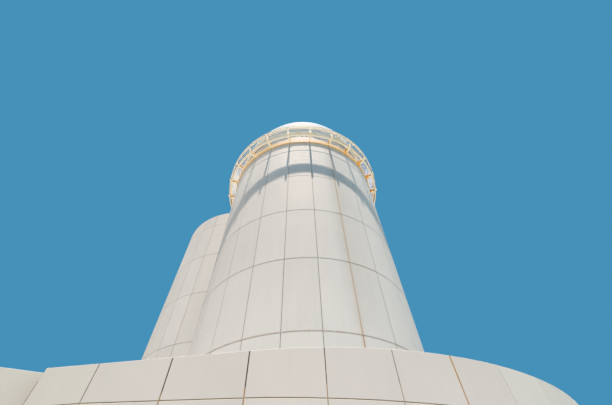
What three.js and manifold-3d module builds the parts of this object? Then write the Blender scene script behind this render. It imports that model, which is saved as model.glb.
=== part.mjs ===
// Observatory building: a round main tower with a steel gallery and a turning dome, a second round tower behind
// it on the left, a low round-fronted podium and the start of a low wing. Millimetres, +Z up, origin on the main
// tower's axis at ground level, front towards -Y. Plan angles run from the front (-Y) towards +X, in degrees.
import * as THREE from 'three';
import { mergeVertices } from 'three/addons/utils/BufferGeometryUtils.js';
import Module from 'manifold-3d';

const wasm = await Module();
wasm.setup();

// Shared
const GAP = 0.3;
const WALL = 250;
const FLOOR_TOP = 150;
// How far cutting blocks run: past the plan, above the roof, and over a face they open.
const REACH = 12000;
const TALL = 30000;
const OVERCUT = 1;

// Main tower
const TOWER_R = 5000;
const TOWER_PANELS = 24;
const TOWER_PANEL = 360 / TOWER_PANELS;
const TOWER_SEAM = -23.94;
const TOWER_SEGMENTS = 8;
const FACETS_PER_PANEL = 3;
const TOWER_TOP = 20480;
const DOME_FLOOR_DEPTH = 200;
const DOORWAY = { width: 1100, top: 2300 };
const DOORWAY_TO_PODIUM = TOWER_SEAM + 7.5 * TOWER_PANEL;
const DOORWAY_TO_SIDE_TOWER = TOWER_SEAM + 16.5 * TOWER_PANEL;

// Side tower
const SIDE = { x: -5110, y: 5560, radius: 4700, top: 20200, panels: 28, seam: -32.4 };
const SIDE_SEGMENT_PANELS = [5, 4, 5, 4, 5];
const SIDE_FIRST_PANEL = 8;
const SIDE_FACETS_PER_PANEL = 3;
const SIDE_ROOF_DEPTH = 220;

// Podium and wing
const PODIUM_R = 8470;
const PODIUM_TOP = 4370;
const PODIUM_PANEL = 8.45;
const PODIUM_FACETS_PER_PANEL = 3;
const PODIUM_START = -6.45;
const PODIUM_SEGMENT_PANELS = 4;
const PODIUM_ARC_SEGMENTS = 6;
const PODIUM_ARC_PANELS = PODIUM_SEGMENT_PANELS * PODIUM_ARC_SEGMENTS;
// Panels counted from the front towards the left: the stretch of left wall, and the slab behind it.
const LEFT_WALL_PANELS = { from: 6, to: 12 };
const LEFT_SLAB_PANELS = 14;
const STRAIGHT_LENGTH = 3885;
const ROOF_BOTTOM = 3570;
const ROOF_TOP = 3800;
const WING = { turn: 22.3, length: 5240, depth: 5500, tuck: 300, slabTuck: 3000 };

// Entrance door in the podium's right side
const DOOR = {
  panel: 11, width: 1000, height: 2100, frame: 60, frameDepth: 160, setBack: 40, sill: 20,
  leafDepth: 50, leafSetBack: 90, play: 3,
};

// Gallery
const GALLERY_BEAM = { bottom: 20330, depth: 150 };
const INNER_RING_R = 5100;
const OUTER_RING = { inner: 5530, outer: 5600 };
const JOIST = { tip: 5700, width: 80 };
const DECK = { inner: 4812, outer: 5600, depth: 30 };
const RAIL = { radius: 5660, bar: 50, top: 21470, knee: 20980 };

// Fixed drum and turning dome
const DRUM = { inner: 4600, outer: 4800, top: 22150 };
const TRACK = { inner: 4660, outer: 4740, depth: 50 };
const WHEEL = { radius: 120, width: 60, ring: 4700, count: 12, sides: 16 };
const BASE_RING = { inner: 4600, bottom: 22390, top: 22600 };
const DOME = { radius: 4900, shell: 60, centre: 23000, skirt: 22050, columns: 48, rows: 10 };
const SLIT_HALF = 900;
const SHUTTER = { half: 1020, thickness: 60, front: -1400, foot: 22300 };
const FRONT_STRIP_EDGE = -1270;
const GIRDER = { near: 910, far: 1030, depth: 300 };

function paint(color, roughness, metalness) {
  return new THREE.MeshStandardMaterial({ color, roughness, metalness });
}

const PALE_PANEL = paint(0xcdcbc6, 0.55, 0.1);
const CONCRETE = paint(0xa8a59e, 0.9, 0.0);
const ROOFING = paint(0x8d8f90, 0.9, 0.0);
const CREAM_STEEL = paint(0xd9c79c, 0.55, 0.4);
const GRATING_STEEL = paint(0xbdbdb8, 0.5, 0.7);
const WHITE_SHELL = paint(0xeeeeec, 0.4, 0.1);
const DARK_STEEL = paint(0x4b4f52, 0.5, 0.8);
const DOOR_PAINT = paint(0x8f9aa0, 0.5, 0.3);

const observatory = new THREE.Group();

function add(name, geometry, material) {
  geometry.computeVertexNormals();
  const mesh = new THREE.Mesh(geometry, material);
  mesh.name = name;
  observatory.add(mesh);
}

// Plan geometry

function polar(radius, degrees, centre = { x: 0, y: 0 }) {
  const angle = THREE.MathUtils.degToRad(degrees);
  return new THREE.Vector2(centre.x + radius * Math.sin(angle), centre.y - radius * Math.cos(angle));
}

function arc(radius, from, to, steps, centre) {
  const points = [];
  for (let i = 0; i <= steps; i++) {
    points.push(polar(radius, from + ((to - from) * i) / steps, centre));
  }
  return points;
}

function circle(radius, from, steps, centre) {
  return arc(radius, from, from + 360, steps, centre).slice(0, -1);
}

function prism(points, bottom, top, hole) {
  const shape = new THREE.Shape(points);
  if (hole) shape.holes.push(new THREE.Path(hole));
  const geometry = new THREE.ExtrudeGeometry(shape, { depth: top - bottom, bevelEnabled: false });
  return geometry.translate(0, 0, bottom);
}

// A piece of round wall whose two ends stand back by half a gap from its neighbours.
function wallSector(inner, outer, from, to, steps, bottom, top, centre) {
  const back = THREE.MathUtils.radToDeg(GAP / inner);
  const outside = arc(outer, from + back, to - back, steps, centre);
  const inside = arc(inner, from + back, to - back, steps, centre).reverse();
  return prism([...outside, ...inside], bottom, top);
}

// A box with one edge along a plan direction: along and across are ranges in the turned frame.
function turnedBox(degrees, along, across, bottom, top) {
  const corner = (a, c) => {
    const out = polar(a, degrees);
    const side = polar(c, degrees + 90);
    return out.add(side);
  };
  const points = [
    corner(along[0], across[0]), corner(along[1], across[0]),
    corner(along[1], across[1]), corner(along[0], across[1]),
  ];
  return prism(points, bottom, top);
}

// Solids

function toSolid(geometry) {
  const bare = geometry.clone();
  bare.deleteAttribute('normal');
  bare.deleteAttribute('uv');
  const merged = mergeVertices(bare);
  return new wasm.Manifold(new wasm.Mesh({
    numProp: 3,
    vertProperties: new Float32Array(merged.attributes.position.array),
    triVerts: new Uint32Array(merged.index.array),
  }));
}

function toGeometry(solid) {
  const mesh = solid.getMesh();
  const geometry = new THREE.BufferGeometry();
  geometry.setAttribute('position', new THREE.BufferAttribute(mesh.vertProperties, 3));
  geometry.setIndex(new THREE.BufferAttribute(mesh.triVerts, 1));
  return geometry;
}

function join(geometries) {
  return toGeometry(geometries.map(toSolid).reduce((whole, piece) => whole.add(piece)));
}

function cut(geometry, cutters) {
  const solid = toSolid(geometry);
  return toGeometry(cutters.map(toSolid).reduce((whole, cutter) => whole.subtract(cutter), solid));
}

function keep(geometry, region) {
  return toGeometry(toSolid(geometry).intersect(toSolid(region)));
}

const towerCircle = (radius) => circle(radius, TOWER_SEAM, TOWER_PANELS * FACETS_PER_PANEL);
const sideCircle = (radius) => circle(radius, SIDE.seam, SIDE.panels * SIDE_FACETS_PER_PANEL, SIDE);
const TOWER_CORE = prism(towerCircle(TOWER_R + GAP), -GAP, TALL);
const SIDE_CORE = prism(sideCircle(SIDE.radius + GAP), -GAP, TALL);

// Main tower: wall segments, ground floor and observing floor

function buildMainTower() {
  const turn = 360 / TOWER_SEGMENTS;
  const steps = (TOWER_PANELS * FACETS_PER_PANEL) / TOWER_SEGMENTS;
  for (let i = 0; i < TOWER_SEGMENTS; i++) {
    const from = TOWER_SEAM + turn * i;
    let wall = wallSector(TOWER_R - WALL, TOWER_R, from, from + turn, steps, 0, TOWER_TOP);
    for (const doorway of [DOORWAY_TO_PODIUM, DOORWAY_TO_SIDE_TOWER]) {
      if (doorway > from && doorway < from + turn) {
        const half = DOORWAY.width / 2;
        const through = [TOWER_R - 3 * WALL, TOWER_R + WALL];
        wall = cut(wall, [turnedBox(doorway, through, [-half, half], FLOOR_TOP, DOORWAY.top)]);
      }
    }
    add(`tower_wall_${i + 1}`, wall, PALE_PANEL);
  }
  const inside = towerCircle(TOWER_R - WALL - GAP);
  add('tower_ground_floor', prism(inside, 0, FLOOR_TOP), CONCRETE);
  add('observing_floor', prism(inside, TOWER_TOP - DOME_FLOOR_DEPTH, TOWER_TOP), CONCRETE);
}

// Side tower: wall segments that stop at the main tower, flat roof and ground floor

function buildSideTower() {
  const panel = 360 / SIDE.panels;
  let first = SIDE_FIRST_PANEL;
  SIDE_SEGMENT_PANELS.forEach((count, i) => {
    const from = SIDE.seam + panel * first;
    const to = from + panel * count;
    const steps = count * SIDE_FACETS_PER_PANEL;
    const wall = wallSector(SIDE.radius - WALL, SIDE.radius, from, to, steps, 0, SIDE.top, SIDE);
    add(`side_tower_wall_${i + 1}`, cut(wall, [TOWER_CORE]), PALE_PANEL);
    first += count;
  });
  const inside = sideCircle(SIDE.radius - WALL - GAP);
  const roof = prism(inside, SIDE.top - SIDE_ROOF_DEPTH, SIDE.top);
  add('side_tower_roof', cut(roof, [TOWER_CORE]), ROOFING);
  add('side_tower_floor', cut(prism(inside, 0, FLOOR_TOP), [TOWER_CORE]), CONCRETE);
}

// Podium and wing: the straight front wall is a tangent to the round wall, and the wing starts behind its end

const straightStart = polar(PODIUM_R, PODIUM_START);
const straightAlong = polar(1, PODIUM_START - 90);
const straightInward = polar(-1, PODIUM_START);
const onStraight = (along, inward) => straightStart.clone()
  .addScaledVector(straightAlong, along).addScaledVector(straightInward, inward);

const wingCorner = onStraight(STRAIGHT_LENGTH, WALL + GAP);
const wingAlong = polar(1, WING.turn - 90);
const wingInward = polar(-1, WING.turn);
const onWing = (along, inward) => wingCorner.clone()
  .addScaledVector(wingAlong, along).addScaledVector(wingInward, inward);

function rectangle(place, along, inward, bottom, top) {
  const points = [
    place(along[0], inward[0]), place(along[1], inward[0]),
    place(along[1], inward[1]), place(along[0], inward[1]),
  ];
  return prism(points, bottom, top);
}

function buildPodiumWalls() {
  const inner = PODIUM_R - WALL;
  const turn = PODIUM_PANEL * PODIUM_SEGMENT_PANELS;
  const steps = PODIUM_FACETS_PER_PANEL * PODIUM_SEGMENT_PANELS;
  for (let i = 0; i < PODIUM_ARC_SEGMENTS; i++) {
    const from = PODIUM_START + turn * i;
    const cutters = [];
    if (i === PODIUM_ARC_SEGMENTS - 1) cutters.push(SIDE_CORE);
    if (Math.floor(DOOR.panel / PODIUM_SEGMENT_PANELS) === i) {
      const half = DOOR.width / 2;
      const reach = [inner - 2 * WALL, PODIUM_R + WALL];
      cutters.push(turnedBox(doorAngle, reach, [-half, half], FLOOR_TOP, FLOOR_TOP + DOOR.height));
    }
    let wall = wallSector(inner, PODIUM_R, from, from + turn, steps, 0, PODIUM_TOP);
    if (cutters.length > 0) wall = cut(wall, cutters);
    add(`podium_wall_${i + 1}`, wall, PALE_PANEL);
  }
  const straight = rectangle(onStraight, [GAP, STRAIGHT_LENGTH], [0, WALL], 0, PODIUM_TOP);
  add('podium_straight_wall', straight, PALE_PANEL);
}

function buildLeftWall() {
  const inner = PODIUM_R - WALL;
  const from = PODIUM_START - PODIUM_PANEL * LEFT_WALL_PANELS.to;
  const to = PODIUM_START - PODIUM_PANEL * LEFT_WALL_PANELS.from;
  const steps = (LEFT_WALL_PANELS.to - LEFT_WALL_PANELS.from) * PODIUM_FACETS_PER_PANEL;
  const wall = wallSector(inner, PODIUM_R, from, to, steps, 0, PODIUM_TOP);
  const inward = [-REACH, WING.depth - WALL + GAP];
  const wingSide = rectangle(onWing, [-REACH, REACH], inward, -GAP, PODIUM_TOP + GAP);
  add('podium_wall_left', cut(wall, [SIDE_CORE, wingSide]), PALE_PANEL);
}

function buildWing() {
  const { length, depth, tuck } = WING;
  const podiumDisc = prism(leftDisc(PODIUM_R + GAP), -GAP, PODIUM_TOP + GAP);
  const front = rectangle(onWing, [-tuck, length], [0, WALL], 0, PODIUM_TOP);
  const end = rectangle(onWing, [length - WALL, length], [WALL + GAP, depth - WALL - GAP], 0, PODIUM_TOP);
  const back = rectangle(onWing, [-tuck, length], [depth - WALL, depth], 0, PODIUM_TOP);
  add('wing_front_wall', front, PALE_PANEL);
  add('wing_end_wall', end, PALE_PANEL);
  add('wing_back_wall', cut(back, [podiumDisc]), PALE_PANEL);
}

// The disc that the left arc of the podium follows, with the same facets as that arc.
function leftDisc(radius) {
  const turn = PODIUM_PANEL * PODIUM_ARC_PANELS;
  return arc(radius, PODIUM_START, PODIUM_START - turn, PODIUM_ARC_PANELS * PODIUM_FACETS_PER_PANEL);
}

// One slab that fills the plan between the podium's and the wing's walls, round the two towers.
function podiumSlab(bottom, top) {
  const { length, depth, tuck, slabTuck } = WING;
  const inner = PODIUM_R - WALL - GAP;
  const sector = (from, to) => {
    const steps = (to - from) * PODIUM_FACETS_PER_PANEL;
    const edge = arc(inner, PODIUM_START + from * PODIUM_PANEL, PODIUM_START + to * PODIUM_PANEL, steps);
    return prism([new THREE.Vector2(0, 0), ...edge], bottom, top);
  };
  const nearCorner = [
    onStraight(0, WALL + GAP), onStraight(STRAIGHT_LENGTH, WALL + GAP), onWing(-slabTuck, WALL),
  ];
  const wingAlongWalls = [-slabTuck, length - WALL - GAP];
  const whole = join([
    sector(0, PODIUM_ARC_PANELS),
    sector(-LEFT_SLAB_PANELS, 0),
    prism(nearCorner, bottom, top),
    rectangle(onWing, wingAlongWalls, [WALL + GAP, depth - WALL - GAP], bottom, top),
  ]);
  const from = bottom - OVERCUT;
  const to = top + OVERCUT;
  const beforeStraight = rectangle(onStraight, [0, STRAIGHT_LENGTH + GAP], [-WALL * 4, WALL + GAP], from, to);
  const wingWall = rectangle(onWing, [-tuck - GAP, length], [-GAP, WALL + GAP], from, to);
  const beforeWing = rectangle(onWing, [0, length], [-WALL * 4, WALL], from, to);
  return cut(whole, [beforeStraight, wingWall, beforeWing, TOWER_CORE, SIDE_CORE]);
}

// Entrance door: a steel frame in the wall's opening and a plain leaf in the frame

const doorAngle = PODIUM_START + PODIUM_PANEL * (DOOR.panel + 0.5);

function buildDoor() {
  const half = DOOR.width / 2;
  const outer = PODIUM_R - DOOR.setBack;
  const back = outer - DOOR.frameDepth;
  const top = FLOOR_TOP + DOOR.height;
  const body = turnedBox(doorAngle, [back, outer], [GAP - half, half - GAP], FLOOR_TOP + GAP, top - GAP);
  const clear = half - DOOR.frame;
  const sill = FLOOR_TOP + DOOR.sill;
  const through = [back - OVERCUT, outer + OVERCUT];
  const hole = turnedBox(doorAngle, through, [-clear, clear], sill, top - DOOR.frame);
  add('door_frame', cut(body, [hole]), DOOR_PAINT);
  const leafHalf = clear - DOOR.play;
  const leafBack = outer - DOOR.leafSetBack;
  const leaf = turnedBox(doorAngle, [leafBack, leafBack + DOOR.leafDepth], [-leafHalf, leafHalf],
    sill + GAP, top - DOOR.frame - DOOR.play);
  add('door_leaf', leaf, DOOR_PAINT);
}

// Gallery: ring beam at the wall, joists with the outer ring beam, deck and railing

function buildGallery() {
  const beamTop = GALLERY_BEAM.bottom + GALLERY_BEAM.depth;
  const bays = (radius) => circle(radius, TOWER_SEAM, TOWER_PANELS);
  const inner = prism(towerCircle(INNER_RING_R), GALLERY_BEAM.bottom, beamTop, towerCircle(TOWER_R + GAP));
  add('gallery_inner_ring', inner, CREAM_STEEL);

  const frame = [prism(bays(OUTER_RING.outer), GALLERY_BEAM.bottom, beamTop, bays(OUTER_RING.inner))];
  const halfPost = RAIL.bar / 2;
  const railOuter = bays(RAIL.radius + halfPost);
  const railInner = bays(RAIL.radius - halfPost);
  const railRing = (top) => prism(railOuter, top - RAIL.bar, top, railInner);
  const railing = [railRing(RAIL.top), railRing(RAIL.knee)];
  for (let i = 0; i < TOWER_PANELS; i++) {
    const angle = TOWER_SEAM + TOWER_PANEL * i;
    const halfJoist = JOIST.width / 2;
    const along = [INNER_RING_R + GAP, JOIST.tip];
    frame.push(turnedBox(angle, along, [-halfJoist, halfJoist], GALLERY_BEAM.bottom, beamTop));
    railing.push(turnedBox(angle, [RAIL.radius - halfPost, RAIL.radius + halfPost], [-halfPost, halfPost],
      beamTop + GAP, RAIL.top - RAIL.bar / 2));
  }
  add('gallery_joists', join(frame), CREAM_STEEL);
  add('gallery_railing', join(railing), CREAM_STEEL);
  const deckBottom = beamTop + GAP;
  const deck = prism(bays(DECK.outer), deckBottom, deckBottom + DECK.depth, towerCircle(DECK.inner));
  add('gallery_deck', deck, GRATING_STEEL);
}

// Dome: fixed drum and track, and the turning ring, girders, shell and shutter

function revolve(profile, columns) {
  return new THREE.LatheGeometry(profile, columns).rotateX(Math.PI / 2);
}

function quarter(radius, rows) {
  const points = [];
  for (let i = 0; i <= rows; i++) {
    const angle = (Math.PI / 2) * (i / rows);
    const across = i === rows ? 0 : radius * Math.cos(angle);
    points.push(new THREE.Vector2(across, DOME.centre + radius * Math.sin(angle)));
  }
  return points;
}

function domeShell(inner, outer, foot) {
  const profile = [
    new THREE.Vector2(outer, foot), ...quarter(outer, DOME.rows),
    ...quarter(inner, DOME.rows).reverse(), new THREE.Vector2(inner, foot),
  ];
  profile.push(profile[0].clone());
  return revolve(profile, DOME.columns);
}

function block(x, y, bottom, top) {
  const points = [
    new THREE.Vector2(x[0], y[0]), new THREE.Vector2(x[1], y[0]),
    new THREE.Vector2(x[1], y[1]), new THREE.Vector2(x[0], y[1]),
  ];
  return prism(points, bottom, top);
}

function buildDrum() {
  const bottom = TOWER_TOP + GAP;
  add('dome_drum', prism(towerCircle(DRUM.outer), bottom, DRUM.top, towerCircle(DRUM.inner)), WHITE_SHELL);
  const trackBottom = DRUM.top + GAP;
  const trackTop = trackBottom + TRACK.depth;
  add('dome_track', prism(towerCircle(TRACK.outer), trackBottom, trackTop, towerCircle(TRACK.inner)), DARK_STEEL);
}

function buildDome() {
  const inner = DOME.radius - DOME.shell;
  const railTop = DRUM.top + GAP + TRACK.depth;
  const ringCircle = (radius) => circle(radius, 0, DOME.columns);
  const ring = [prism(ringCircle(inner - GAP), BASE_RING.bottom, BASE_RING.top, ringCircle(BASE_RING.inner))];
  for (let i = 0; i < WHEEL.count; i++) {
    const angle = (360 / WHEEL.count) * i;
    const wheel = new THREE.CylinderGeometry(WHEEL.radius, WHEEL.radius, WHEEL.width, WHEEL.sides);
    const place = polar(WHEEL.ring, angle);
    wheel.rotateZ(THREE.MathUtils.degToRad(angle));
    ring.push(wheel.translate(place.x, place.y, railTop + GAP + WHEEL.radius));
  }
  add('dome_base_ring', join(ring), DARK_STEEL);

  const low = DOME.skirt - OVERCUT;
  const high = DOME.centre + DOME.radius + REACH;
  const shell = domeShell(inner, DOME.radius, DOME.skirt);
  add('dome_shell_left', keep(shell, block([-REACH, -SLIT_HALF], [-REACH, REACH], low, high)), WHITE_SHELL);
  add('dome_shell_right', keep(shell, block([SLIT_HALF, REACH], [-REACH, REACH], low, high)), WHITE_SHELL);
  const strip = block([GAP - SLIT_HALF, SLIT_HALF - GAP], [-REACH, FRONT_STRIP_EDGE], low, high);
  add('dome_shell_front', keep(shell, strip), WHITE_SHELL);

  const over = domeShell(DOME.radius + GAP, DOME.radius + SHUTTER.thickness, SHUTTER.foot);
  const cover = block([-SHUTTER.half, SHUTTER.half], [SHUTTER.front, REACH], low, high);
  add('dome_shutter', keep(over, cover), WHITE_SHELL);

  const bowlOf = (radius, foot) => revolve([
    new THREE.Vector2(0, foot), new THREE.Vector2(radius, foot), ...quarter(radius, DOME.rows),
  ], DOME.columns);
  const bowl = bowlOf(inner - GAP, BASE_RING.top);
  const hollow = bowlOf(inner - GIRDER.depth, BASE_RING.top - OVERCUT);
  for (const [name, side] of [['dome_girder_left', -1], ['dome_girder_right', 1]]) {
    const range = [side * GIRDER.near, side * GIRDER.far].sort((a, b) => a - b);
    const arch = keep(bowl, block(range, [-REACH, REACH], BASE_RING.top + GAP, high));
    add(name, cut(arch, [hollow]), DARK_STEEL);
  }
}

buildMainTower();
buildSideTower();
buildPodiumWalls();
buildLeftWall();
buildWing();
add('podium_floor', podiumSlab(0, FLOOR_TOP), CONCRETE);
add('podium_roof', podiumSlab(ROOF_BOTTOM, ROOF_TOP), ROOFING);
buildDoor();
buildGallery();
buildDrum();
buildDome();

export default observatory;
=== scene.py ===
import random
from itertools import pairwise
from math import acos, atan2, ceil, cos, degrees, hypot, pi, radians, sin, sqrt, tan

import bmesh
import bpy
from mathutils import Matrix, Vector


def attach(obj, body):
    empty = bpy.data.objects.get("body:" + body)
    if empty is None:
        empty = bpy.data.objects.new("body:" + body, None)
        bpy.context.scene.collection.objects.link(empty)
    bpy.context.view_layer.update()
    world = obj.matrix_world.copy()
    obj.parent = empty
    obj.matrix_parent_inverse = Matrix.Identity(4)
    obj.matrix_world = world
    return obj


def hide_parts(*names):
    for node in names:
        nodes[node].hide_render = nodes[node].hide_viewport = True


# The observatory in metres, +Z up, front towards -Y, on the main tower's axis. Plan angles are in degrees
# from the front (-Y) towards +X.
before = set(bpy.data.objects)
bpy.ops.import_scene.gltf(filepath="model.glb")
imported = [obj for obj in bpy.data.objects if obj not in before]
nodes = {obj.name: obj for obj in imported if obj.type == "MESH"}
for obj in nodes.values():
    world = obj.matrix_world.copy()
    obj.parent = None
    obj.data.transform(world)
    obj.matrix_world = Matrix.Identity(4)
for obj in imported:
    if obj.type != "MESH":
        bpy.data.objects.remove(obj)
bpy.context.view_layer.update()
rng = random.Random(7)

# Plan and heights, as in the solids
TOWER_R = 5.0
TOWER_SEAM = -23.94
TOWER_PANEL = 15.0
SIDE_CENTRE = (-5.11, 5.56)
SIDE_R = 4.7
SIDE_TOP = 20.2
SIDE_SEAM = -32.4
SIDE_PANEL = 360 / 28
PODIUM_R = 8.47
PODIUM_TOP = 4.37
PODIUM_START = -6.45
PODIUM_PANEL = 8.45
WALL = 0.25
GAP = 0.0003
ROOF_TOP = 3.8
WING_TURN = 22.3
WING_LENGTH = 5.24
WING_DEPTH = 5.5
WING_PANEL = 1.31
STRAIGHT_SEAMS = (0.0, 1.464, 2.853, 3.885)
COURSE = 3.057
COURSES = [0.63 + COURSE * k for k in range(7)]
PANELS_TOP = 20.28
UP = Vector((0, 0, 1))

# Panels: how far their face and back stand off the wall, half a joint, the eased edge, the caps' thickness, the
# foot above the ground, how far panels and linings stay off another round wall, and the angle of a sharp edge
PROUD, BACK = 0.010, 0.001
JOINT, THIN_JOINT = 0.007, 0.004
EDGE = 0.003
CAP = 0.006
FOOT = 0.02
CLEAR, LINING_CLEAR = 0.022, 0.03
SHARP = radians(32)


# Camera

LENS = 17.762
EYE = (0, -13.72, 1.6)
PITCH, YAW, ROLL = 0.934346, 0.0170378, -0.0359985


def make_camera():
    aim = Vector((sin(YAW) * cos(PITCH), cos(YAW) * cos(PITCH), sin(PITCH)))
    level = Vector((cos(YAW), -sin(YAW), 0))
    above = level.cross(aim)
    right = level * cos(ROLL) + above * sin(ROLL)
    up = above * cos(ROLL) - level * sin(ROLL)
    data = bpy.data.cameras.new("camera")
    data.sensor_width = 36
    data.lens = LENS
    data.clip_start, data.clip_end = 0.1, 500
    camera = bpy.data.objects.new("camera", data)
    bpy.context.scene.collection.objects.link(camera)
    camera.matrix_world = Matrix.Translation(EYE) @ Matrix((right, up, -aim)).transposed().to_4x4()
    bpy.context.scene.camera = camera


make_camera()


# Node graphs

def operator(name):
    return lambda self, other=0.0: self.graph.math(name, self, other)


class Value:
    """A node's output that can be reckoned with like a number."""

    def __init__(self, graph, socket):
        self.graph, self.socket = graph, socket

    def __radd__(self, other):
        return self.graph.math("ADD", other, self)

    __add__, __sub__ = operator("ADD"), operator("SUBTRACT")
    __mul__, __truediv__ = operator("MULTIPLY"), operator("DIVIDE")
    __abs__, __round__ = operator("ABSOLUTE"), operator("ROUND")


class Graph:
    """A material's nodes. place, x, y, z and angle are those of the shaded point."""

    def __init__(self, name, roughness=0.5, metallic=0.0, coat=0.0, specular=0.5):
        self.material = bpy.data.materials.new(name)
        self.material.use_nodes = True
        self.tree = self.material.node_tree
        self.tree.nodes.clear()
        self.shader = self.tree.nodes.new("ShaderNodeBsdfPrincipled")
        self.tree.links.new(self.shader.outputs[0], self.tree.nodes.new("ShaderNodeOutputMaterial").inputs[0])
        for socket, value in zip(("Roughness", "Metallic", "Coat Weight", "Specular IOR Level"),
                                 (roughness, metallic, coat, specular)):
            self.shader.inputs[socket].default_value = value
        self.place = self.new("ShaderNodeTexCoord", output="Object")
        self.x, self.y, self.z = (self.new("ShaderNodeSeparateXYZ", {0: self.place}, k) for k in range(3))
        self.angle = self.bearing(self.x, self.y)

    def new(self, kind, values=(), output=0, **settings):
        node = self.tree.nodes.new(kind)
        for key, value in settings.items():
            setattr(node, key, value)
        for socket, value in dict(values).items():
            self.put(node.inputs[socket], value)
        return Value(self, node.outputs[output])

    def put(self, socket, value):
        if isinstance(value, Value):
            self.tree.links.new(value.socket, socket)
        elif isinstance(value, tuple) and socket.type == "RGBA":
            socket.default_value = (*value, 1)
        else:
            socket.default_value = value

    def math(self, operation, a, b=0.0):
        return self.new("ShaderNodeMath", {0: a, 1: b}, operation=operation)

    def bearing(self, x, y):
        return self.math("DEGREES", self.math("ARCTAN2", x, y * -1.0))

    def off_seam(self, place, pitch):
        """How far a place is from the nearest of even seams, as a share of their pitch."""
        turn = place / pitch
        return abs(turn - round(turn))

    def noise(self, scale, detail=3.0, roughness=0.55, stretch=None):
        vector = self.place
        if stretch:
            vector = self.new("ShaderNodeVectorMath", {0: self.place, 1: stretch}, operation="MULTIPLY")
        values = {"Vector": vector, "Scale": scale, "Detail": detail, "Roughness": roughness}
        return self.new("ShaderNodeTexNoise", values)

    def cells(self, scale, output):
        return self.new("ShaderNodeTexVoronoi", {"Vector": self.place, "Scale": scale}, output)

    def tone(self):
        return self.new("ShaderNodeAttribute", output="Fac", attribute_name="tone", attribute_type="GEOMETRY")

    def range(self, value, low, high, to_low=0.0, to_high=1.0):
        values = {0: value, 1: low, 2: high, 3: to_low, 4: to_high}
        return self.new("ShaderNodeMapRange", values, interpolation_type="SMOOTHSTEP")

    def fall(self, value, low, high):
        return self.range(value, low, high, 1.0, 0.0)

    def mix(self, share, a, b, blend="MIX"):
        return self.new("ShaderNodeMix", {0: share, 6: a, 7: b}, 2, data_type="RGBA", blend_type=blend)

    def lit(self, colour, light):
        grey = self.new("ShaderNodeCombineColor", {0: light, 1: light, 2: light})
        return self.mix(1.0, colour, grey, "MULTIPLY")

    def bump(self, height, distance, strength, normal=None):
        values = {"Height": height, "Distance": distance, "Strength": strength}
        return self.new("ShaderNodeBump", {**values, "Normal": normal} if normal else values)

    def done(self, colour, roughness=None, normal=None):
        for name, value in (("Base Color", colour), ("Roughness", roughness), ("Normal", normal)):
            if value is not None:
                self.put(self.shader.inputs[name], value)
        return self.material


RUST = (0.46, 0.19, 0.045)
RUST_DARK = (0.16, 0.07, 0.03)
RUST_PALE = (0.56, 0.34, 0.15)
RUST_SEAM = TOWER_SEAM + 3 * TOWER_PANEL
PODIUM_RUST_SEAM = 18.32
# Heights between which the rust of the main tower's upright seam turns pale
PALE_FROM = (6.2, 7.6)
DIRT_REACH = 0.08
# Rust along the main tower's level joints: height, from angle, to angle, strength
RUST_LEVELS = (
    (COURSES[2], -60, 60, 0.6),
    (COURSES[3], 19, 40, 0.75),
    (COURSES[3], -60, 20, 0.14),
    (COURSES[4], 17, 26, 0.7),
    (COURSES[4], 30, 45, 0.35),
)


def seam_rust(g, seam, radius, reach, broken):
    """Rust that spreads by reach to both sides of an upright seam of a round wall, 0 to 1."""
    return g.fall(abs(g.angle - seam), 0.0, reach * degrees(1 / radius)) * broken


def tower_rust(g, reach):
    """Rust on the main tower, 0 to 1: along its rusty seam and its level joints."""
    broken = g.noise(1.0, 4, 0.6, (9, 9, 1.6))
    total = seam_rust(g, RUST_SEAM, TOWER_R, reach, g.range(broken, 0.3, 0.62, 0.35, 1.0))
    total = total * (g.fall(g.z, 13.4, 15.2) * g.range(g.z, 4.5, 9.0, 1.0, 0.7))
    for level, start, end, strength in RUST_LEVELS:
        near = g.range(abs(g.z - level), 0.0, reach, strength, 0.0)
        inside = g.range(g.angle, start - 4, start + 1) * g.fall(g.angle, end - 1, end + 4)
        total = g.math("MAXIMUM", total, near * inside * g.range(broken, 0.25, 0.6))
    return total


def podium_rust(g, reach):
    broken = g.noise(1.0, 4, 0.6, (9, 9, 1.6))
    return seam_rust(g, PODIUM_RUST_SEAM, PODIUM_R, reach, g.range(broken, 0.3, 0.6, 0.55, 1.0))


def joint_dirt(g, radius, centre, first, pitch):
    """Dirt that has settled beside a round wall's joints, 0 to 1."""
    angle = g.bearing(g.x - centre[0], g.y - centre[1])
    offs = (g.off_seam(angle - first, pitch) * (radians(pitch) * radius),
            g.off_seam(g.z - COURSES[0], COURSE) * COURSE)
    return g.math("MAXIMUM", *[g.fall(off, 0.0, DIRT_REACH) for off in offs])


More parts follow.
